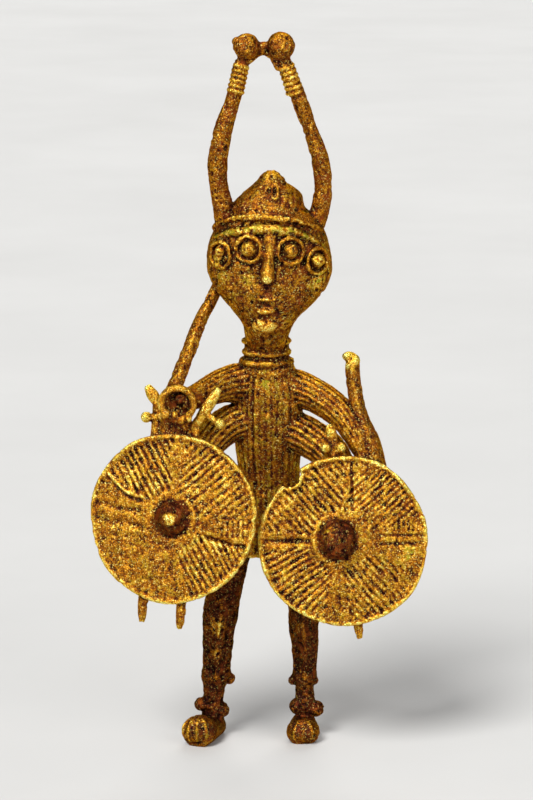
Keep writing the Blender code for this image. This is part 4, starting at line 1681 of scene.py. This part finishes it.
class Net:
    """The points, normals and edges of a mesh as arrays."""

    def __init__(self, mesh: bpy.types.Mesh) -> None:
        """Reads the mesh.

        Args:
            mesh: The mesh.
        """
        count = len(mesh.vertices)
        self.points = np.empty(count * 3, np.float32)
        mesh.vertices.foreach_get("co", self.points)
        self.points = self.points.reshape(-1, 3).astype(float)
        self.normals = np.empty(count * 3, np.float32)
        mesh.vertex_normals.foreach_get("vector", self.normals)
        self.normals = self.normals.reshape(-1, 3).astype(float)
        edges = np.empty(len(mesh.edges) * 2, np.int32)
        mesh.edges.foreach_get("vertices", edges)
        self.ends = edges.reshape(-1, 2)
        self.degree = np.maximum(np.bincount(edges, minlength=count), 1)

    def spread(self, values: np.ndarray, rounds: int, share: float = 0.5) -> np.ndarray:
        """Values averaged with their neighbours.

        Args:
            values: One number or row of numbers a point.
            rounds: How many times.
            share: Weight of the neighbours each time.

        Returns:
            The averaged values.
        """
        first, last = self.ends[:, 0], self.ends[:, 1]
        columns = values.reshape(len(values), -1).T.copy()
        for column in columns:
            for _ in range(rounds):
                total = np.bincount(first, column[last], len(column))
                total += np.bincount(last, column[first], len(column))
                column += share * (total / self.degree - column)
        return columns.T.reshape(values.shape)


@dataclass
class Casting:
    """The figure's skin: the wax forms joined, weathered and made of few enough triangles.

    Attributes:
        voxel: Size of the cells that join the forms, in millimetres.
        most_triangles: The triangles it is brought down to.
        swell: Size of the hand-made unevenness.
        pit: Depth of the casting's pits.
        dabs: Patches where the skin differs, some of them painted highlights and painted shadows.
    """

    voxel: float = 0.25
    most_triangles: int = 196000
    swell: float = 0.32
    pit: float = 0.22
    dabs: tuple[Dab, ...] = ()

    def joined(self, wax: Wax) -> bpy.types.Mesh:
        """One closed skin round all the wax forms, in millimetres.

        Args:
            wax: The forms.

        Returns:
            The skin.
        """
        mesh = bpy.data.meshes.new("wax")
        wax.bm.to_mesh(mesh)
        rough = bpy.data.objects.new("wax", mesh)
        bpy.context.scene.collection.objects.link(rough)
        grid = rough.modifiers.new("join", "REMESH")
        grid.mode = "VOXEL"
        grid.voxel_size = self.voxel
        return self.evaluated(rough)

    def evaluated(self, rough: bpy.types.Object) -> bpy.types.Mesh:
        """The object's mesh after its modifiers. The object and its own mesh are removed.

        Args:
            rough: The object.

        Returns:
            The mesh.
        """
        graph = bpy.context.evaluated_depsgraph_get()
        graph.update()
        made = bpy.data.meshes.new_from_object(rough.evaluated_get(graph))
        old = rough.data
        bpy.data.objects.remove(rough)
        bpy.data.meshes.remove(old)
        return made

    def skin_values(self, wax: Wax, points: np.ndarray) -> np.ndarray:
        """Worn, ruddy, olive and pitting at points, from the nearest wax form.

        Args:
            wax: The forms.
            points: Points as rows of x, y and z.

        Returns:
            A row of four values for each point.
        """
        tree = KDTree(len(wax.bm.verts))
        for count, vert in enumerate(wax.bm.verts):
            tree.insert(vert.co, count)
        tree.balance()
        table = np.repeat([skin.value for skin, _ in wax.skins], [count for _, count in wax.skins], axis=0)
        nearest = np.array([tree.find(point)[1] for point in points])
        return table[nearest]

    def weathered(self, mesh: bpy.types.Mesh, wax: Wax) -> dict[str, np.ndarray]:
        """Smooths the cells' steps, wears and pits the skin, and measures it.

        Args:
            mesh: The joined skin, which is changed.
            wax: The forms under it.

        Returns:
            Each named value of the skin, one number a point.
        """
        net = Net(mesh)
        values = net.spread(self.skin_values(wax, net.points), 6)
        points = net.spread(net.points, 2)
        pitted = values[:, 3]
        swell = Grain(5.0, 1).at(points) + 0.5 * Grain(2.2, 2).at(points) - 0.75
        crumb = Grain(0.8, 3).at(points) - 0.5
        pits = step(0.62, 0.8, Grain(1.3, 4).at(points)) + 0.6 * step(0.66, 0.8, Grain(0.7, 5).at(points))
        move = pitted * (self.swell * swell + 0.13 * crumb - self.pit * pits)
        points = points + net.normals * move[:, None]
        points[:, 2] = np.maximum(points[:, 2], 0)
        fine = np.sum((net.spread(points, 5) - points) * net.normals, axis=1)
        broad = np.sum((net.spread(points, 40) - points) * net.normals, axis=1)
        # Hollow marks creases and recesses, which the colour darkens partly as dark oxide and partly as
        # painted shade; ridge marks the worn high points.
        hollow = step(0.0, 0.10, fine) * 0.5 + step(0.02, 0.45, broad) * 0.6
        ridge = step(0.0, 0.10, -fine) * 0.45 + step(0.0, 0.40, -broad) * 0.55
        found = {"worn": values[:, 0], "ruddy": values[:, 1], "olive": values[:, 2]}
        # The dabs add stains, painted highlights and painted shadows to the skin's values.
        for dab in self.dabs:
            off = np.linalg.norm(points - np.array(dab.centre), axis=1) / dab.radius
            weight = 1 - step(0.3, 1.0, off)
            for name, change in (("worn", dab.worn), ("ruddy", dab.ruddy), ("olive", dab.olive)):
                found[name] = found[name] + weight * change
        found["hollow"] = net.spread(hollow, 2)
        found["ridge"] = net.spread(ridge, 1)
        mesh.vertices.foreach_set("co", points.astype(np.float32).ravel())
        mesh.update()
        return found

    def lightened(self, mesh: bpy.types.Mesh) -> bpy.types.Mesh:
        """The skin with few enough triangles.

        Args:
            mesh: The skin, which is used up.

        Returns:
            The lighter skin.
        """
        rough = bpy.data.objects.new("skin", mesh)
        bpy.context.scene.collection.objects.link(rough)
        fewer = rough.modifiers.new("fewer", "DECIMATE")
        fewer.ratio = self.most_triangles / (2 * len(mesh.polygons))
        fewer.use_collapse_triangulate = True
        return self.evaluated(rough)

    def build(self, wax: Wax) -> bpy.types.Object:
        """The finished piece, in metres at the frame's origin.

        Args:
            wax: The forms.

        Returns:
            The piece.
        """
        dense = self.joined(wax)
        LOG.info("joined skin has %d points", len(dense.vertices))
        values = self.weathered(dense, wax)
        tree = KDTree(len(dense.vertices))
        for count, vert in enumerate(dense.vertices):
            tree.insert(vert.co, count)
        tree.balance()
        mesh = self.lightened(dense)
        nearest = np.array([tree.find(vert.co)[1] for vert in mesh.vertices])
        for name, numbers in values.items():
            layer = mesh.attributes.new(name, "FLOAT", "POINT")
            layer.data.foreach_set("value", np.clip(numbers[nearest], 0, 1.5).astype(np.float32))
        mesh.transform(Matrix.Scale(MM, 4) @ Matrix.Translation(ORIGIN_SHIFT))
        mesh.shade_smooth()
        mesh.name = "bronze"
        piece = bpy.data.objects.new("bronze", mesh)
        bpy.context.scene.collection.objects.link(piece)
        piece.data.materials.clear()
        piece.data.materials.append(Bronze().material())
        LOG.info("bronze has %d triangles", len(mesh.polygons))
        return piece


# Stains, painted highlights and painted shadows, each as centre, radius and changes to worn gold, ruddiness
# and olive bloom.
DABS = (
    # Painted highlight: a bright gold spot on the tip of the left shield's boss.
    Dab((-25.0, -25.6, 67.2), 2.4, 1.1, -0.7, 0.0),
    # Painted shadow under the nose, dark and ruddy.
    Dab((0.3, -12.4, 124.8), 2.1, -0.75, 0.5, -0.2),
    Dab((37.2, -20.0, 56.0), 3.2, 0.45, -0.2, 0.7),
    Dab((38.0, -19.5, 67.7), 2.4, 0.50, -0.2, 0.6),
    # The right shield's boss: its lower half darker and ruddier as painted shade, its upper left lighter as
    # a painted highlight, with the ruddy and olive tints of its oxide.
    Dab((18.2, -24.0, 57.4), 3.4, -0.15, 0.6, -0.2),
    Dab((16.4, -24.0, 62.6), 2.8, 0.15, -0.2, 0.6),
    Dab((12.4, -21.5, 60.0), 2.4, 0.20, 0.4, -0.2),
    Dab((0.2, -15.4, 127.4), 1.7, 0.25, 0.5, -0.2),
    # Painted highlight on the right cheek, with olive bloom.
    Dab((13.5, -8.0, 126.0), 3.6, 0.50, -0.3, 0.8),
    Dab((-4.5, -11.0, 126.9), 3.6, 0.25, -0.2, 0.3),
    # Painted highlight on the left cheek, with olive bloom.
    Dab((-10.8, -7.6, 127.4), 3.6, 0.35, -0.1, 0.4),
    Dab((0.3, -5.6, 99.8), 4.2, 0.30, -0.2, 0.4),
    Dab((0.5, -6.0, 75.0), 7.5, -0.12, 0.2, 0.0),
    Dab((8.0, -9.5, 120.5), 5.0, -0.18, 0.3, 0.0),
    # Painted shade in the hollow of the left fist's ring, darker and ruddier.
    Dab((-23.0, -16.0, 95.4), 2.8, -0.20, 0.5, -0.2),
    # Painted shadow on the left wrist, under the fist and above the shield's top.
    Dab((-23.5, -16.0, 90.5), 3.4, -0.35, 0.2, 0.0),
    Dab((-13.8, -5.0, 32.0), 3.6, 0.50, -0.4, 0.2),
    Dab((-13.6, -5.0, 24.5), 2.2, 0.30, -0.3, 0.1),
    Dab((8.6, -4.0, 33.0), 2.4, 0.25, -0.2, 0.2),
    Dab((-13.0, -1.5, 3.5), 4.2, -0.20, 0.3, -0.3),
    Dab((10.2, -2.5, 6.5), 3.0, -0.20, 0.3, -0.3),
    Dab((-24.4, -21.0, 60.0), 4.0, -0.15, 0.5, -0.2),
)


@dataclass(frozen=True)
class Plaster:
    """The floor's finish, pale and matt.

    Attributes:
        name: The material's name.
        tones: The two tones of its faint cloudiness.
        roughness: Its roughness.
    """

    name: str = "pale_floor"
    tones: tuple = ((0.3, (0.52, 0.515, 0.50)), (0.7, (0.56, 0.555, 0.54)))
    roughness: float = 0.8

    def material(self) -> bpy.types.Material:
        """The material, made once.

        Returns:
            The material.
        """
        made = bpy.data.materials.new(self.name)
        made.use_nodes = True
        tree = made.node_tree
        shader = tree.nodes["Principled BSDF"]
        shader.inputs["Roughness"].default_value = self.roughness
        bench = Bench("floor_tone")
        place = bench.socket("Place", "NodeSocketVector")
        bench.output("Color", "NodeSocketColor", bench.ramp(bench.noise(place, 6.0, 4, 0.6), self.tones))
        group = tree.nodes.new("ShaderNodeGroup")
        group.node_tree = bench.tree
        coordinates = tree.nodes.new("ShaderNodeTexCoord")
        tree.links.new(coordinates.outputs["Object"], group.inputs["Place"])
        tree.links.new(group.outputs["Color"], shader.inputs["Base Color"])
        return made


@dataclass
class Studio:
    """The pale floor, the soft lights and the camera.

    Attributes:
        lamps: Name, place, breadth in degrees and strength of each light.
        sky: Colour of the world round it all.
        sky_strength: Its strength.
        floor_half: Half the floor's side, in metres.
        elevation: The camera's angle above level, in degrees.
        distance: From the camera to what it aims at, in millimetres.
        target: What it aims at.
        lens: Its focal length.
    """

    lamps: tuple = (
        ("key", (-0.45, -0.75, 1.0), 24.0, 3.5),
        ("fill", (0.75, -0.7, 0.5), 40.0, 0.9),
        ("back", (0.15, 0.8, 0.8), 35.0, 1.0),
    )
    sky: tuple = (0.92, 0.93, 0.95, 1)
    sky_strength: float = 0.3
    floor_half: float = 12.0
    elevation: float = 12.5
    distance: float = 800.0
    target: Point = (0.0, 0.0, 92.75)
    lens: float = 136.65

    def build(self) -> None:
        """Sets up the floor, world, lights and camera."""
        self.lay_floor()
        self.light()
        self.aim_camera()

    def lay_floor(self) -> None:
        """A plain pale floor."""
        form = bmesh.new()
        bmesh.ops.create_grid(form, x_segments=4, y_segments=4, size=self.floor_half)
        mesh = bpy.data.meshes.new("floor")
        form.to_mesh(mesh)
        form.free()
        floor = bpy.data.objects.new("floor", mesh)
        bpy.context.scene.collection.objects.link(floor)
        floor.data.materials.append(Plaster().material())

    def light(self) -> None:
        """A soft pale world and three broad soft lights, even over the whole floor."""
        world = bpy.data.worlds.new("studio")
        world.use_nodes = True
        world.node_tree.nodes["Background"].inputs["Color"].default_value = self.sky
        world.node_tree.nodes["Background"].inputs["Strength"].default_value = self.sky_strength
        bpy.context.scene.world = world
        bpy.context.scene.view_settings.view_transform = "Standard"
        for name, place, breadth, power in self.lamps:
            lamp = bpy.data.lights.new(name, "SUN")
            lamp.angle = math.radians(breadth)
            lamp.energy = power
            holder = bpy.data.objects.new(name, lamp)
            holder.location = place
            holder.rotation_euler = Vector(place).to_track_quat("Z", "Y").to_euler()
            bpy.context.scene.collection.objects.link(holder)

    def aim_camera(self) -> None:
        """The camera at the photograph's angle and distance."""
        lens = bpy.data.cameras.new("camera")
        lens.lens = self.lens
        lens.sensor_width = 36.0
        lens.sensor_fit = "AUTO"
        lens.clip_start = 0.01
        camera = bpy.data.objects.new("camera", lens)
        low = math.radians(self.elevation)
        back = Vector((0, -math.cos(low), math.sin(low))) * self.distance
        camera.location = (Vector(self.target) + ORIGIN_SHIFT + back) * MM
        camera.rotation_euler = (math.pi / 2 - low, 0, 0)
        bpy.context.scene.collection.objects.link(camera)
        bpy.context.scene.camera = camera


def main() -> None:
    """Builds the studio and the figure."""
    logging.basicConfig(level=logging.INFO, format="%(message)s")
    Studio().build()
    LOG.info("studio is up")
    wax = Wax()
    parts = {
        "head": Head(),
        "horns": Horns(),
        "body": Body(),
        "arms": Arms(),
        "swords": Swords(),
        "left shield": LEFT_SHIELD,
        "right shield": RIGHT_SHIELD,
        "outer spare sword": SPARE_SWORDS[0],
        "inner spare sword": SPARE_SWORDS[1],
        "right spare sword": SPARE_SWORDS[2],
        "left leg": LEFT_LEG,
        "right leg": RIGHT_LEG,
    }
    for name, part in parts.items():
        part.build(wax)
        LOG.info("%s laid up, %d points", name, len(wax.bm.verts))
    bronze = Casting(dabs=DABS).build(wax)
    wax.bm.free()
    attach(bronze, "root")
    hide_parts("bronze_figure")


if __name__ == "__main__":
    main()
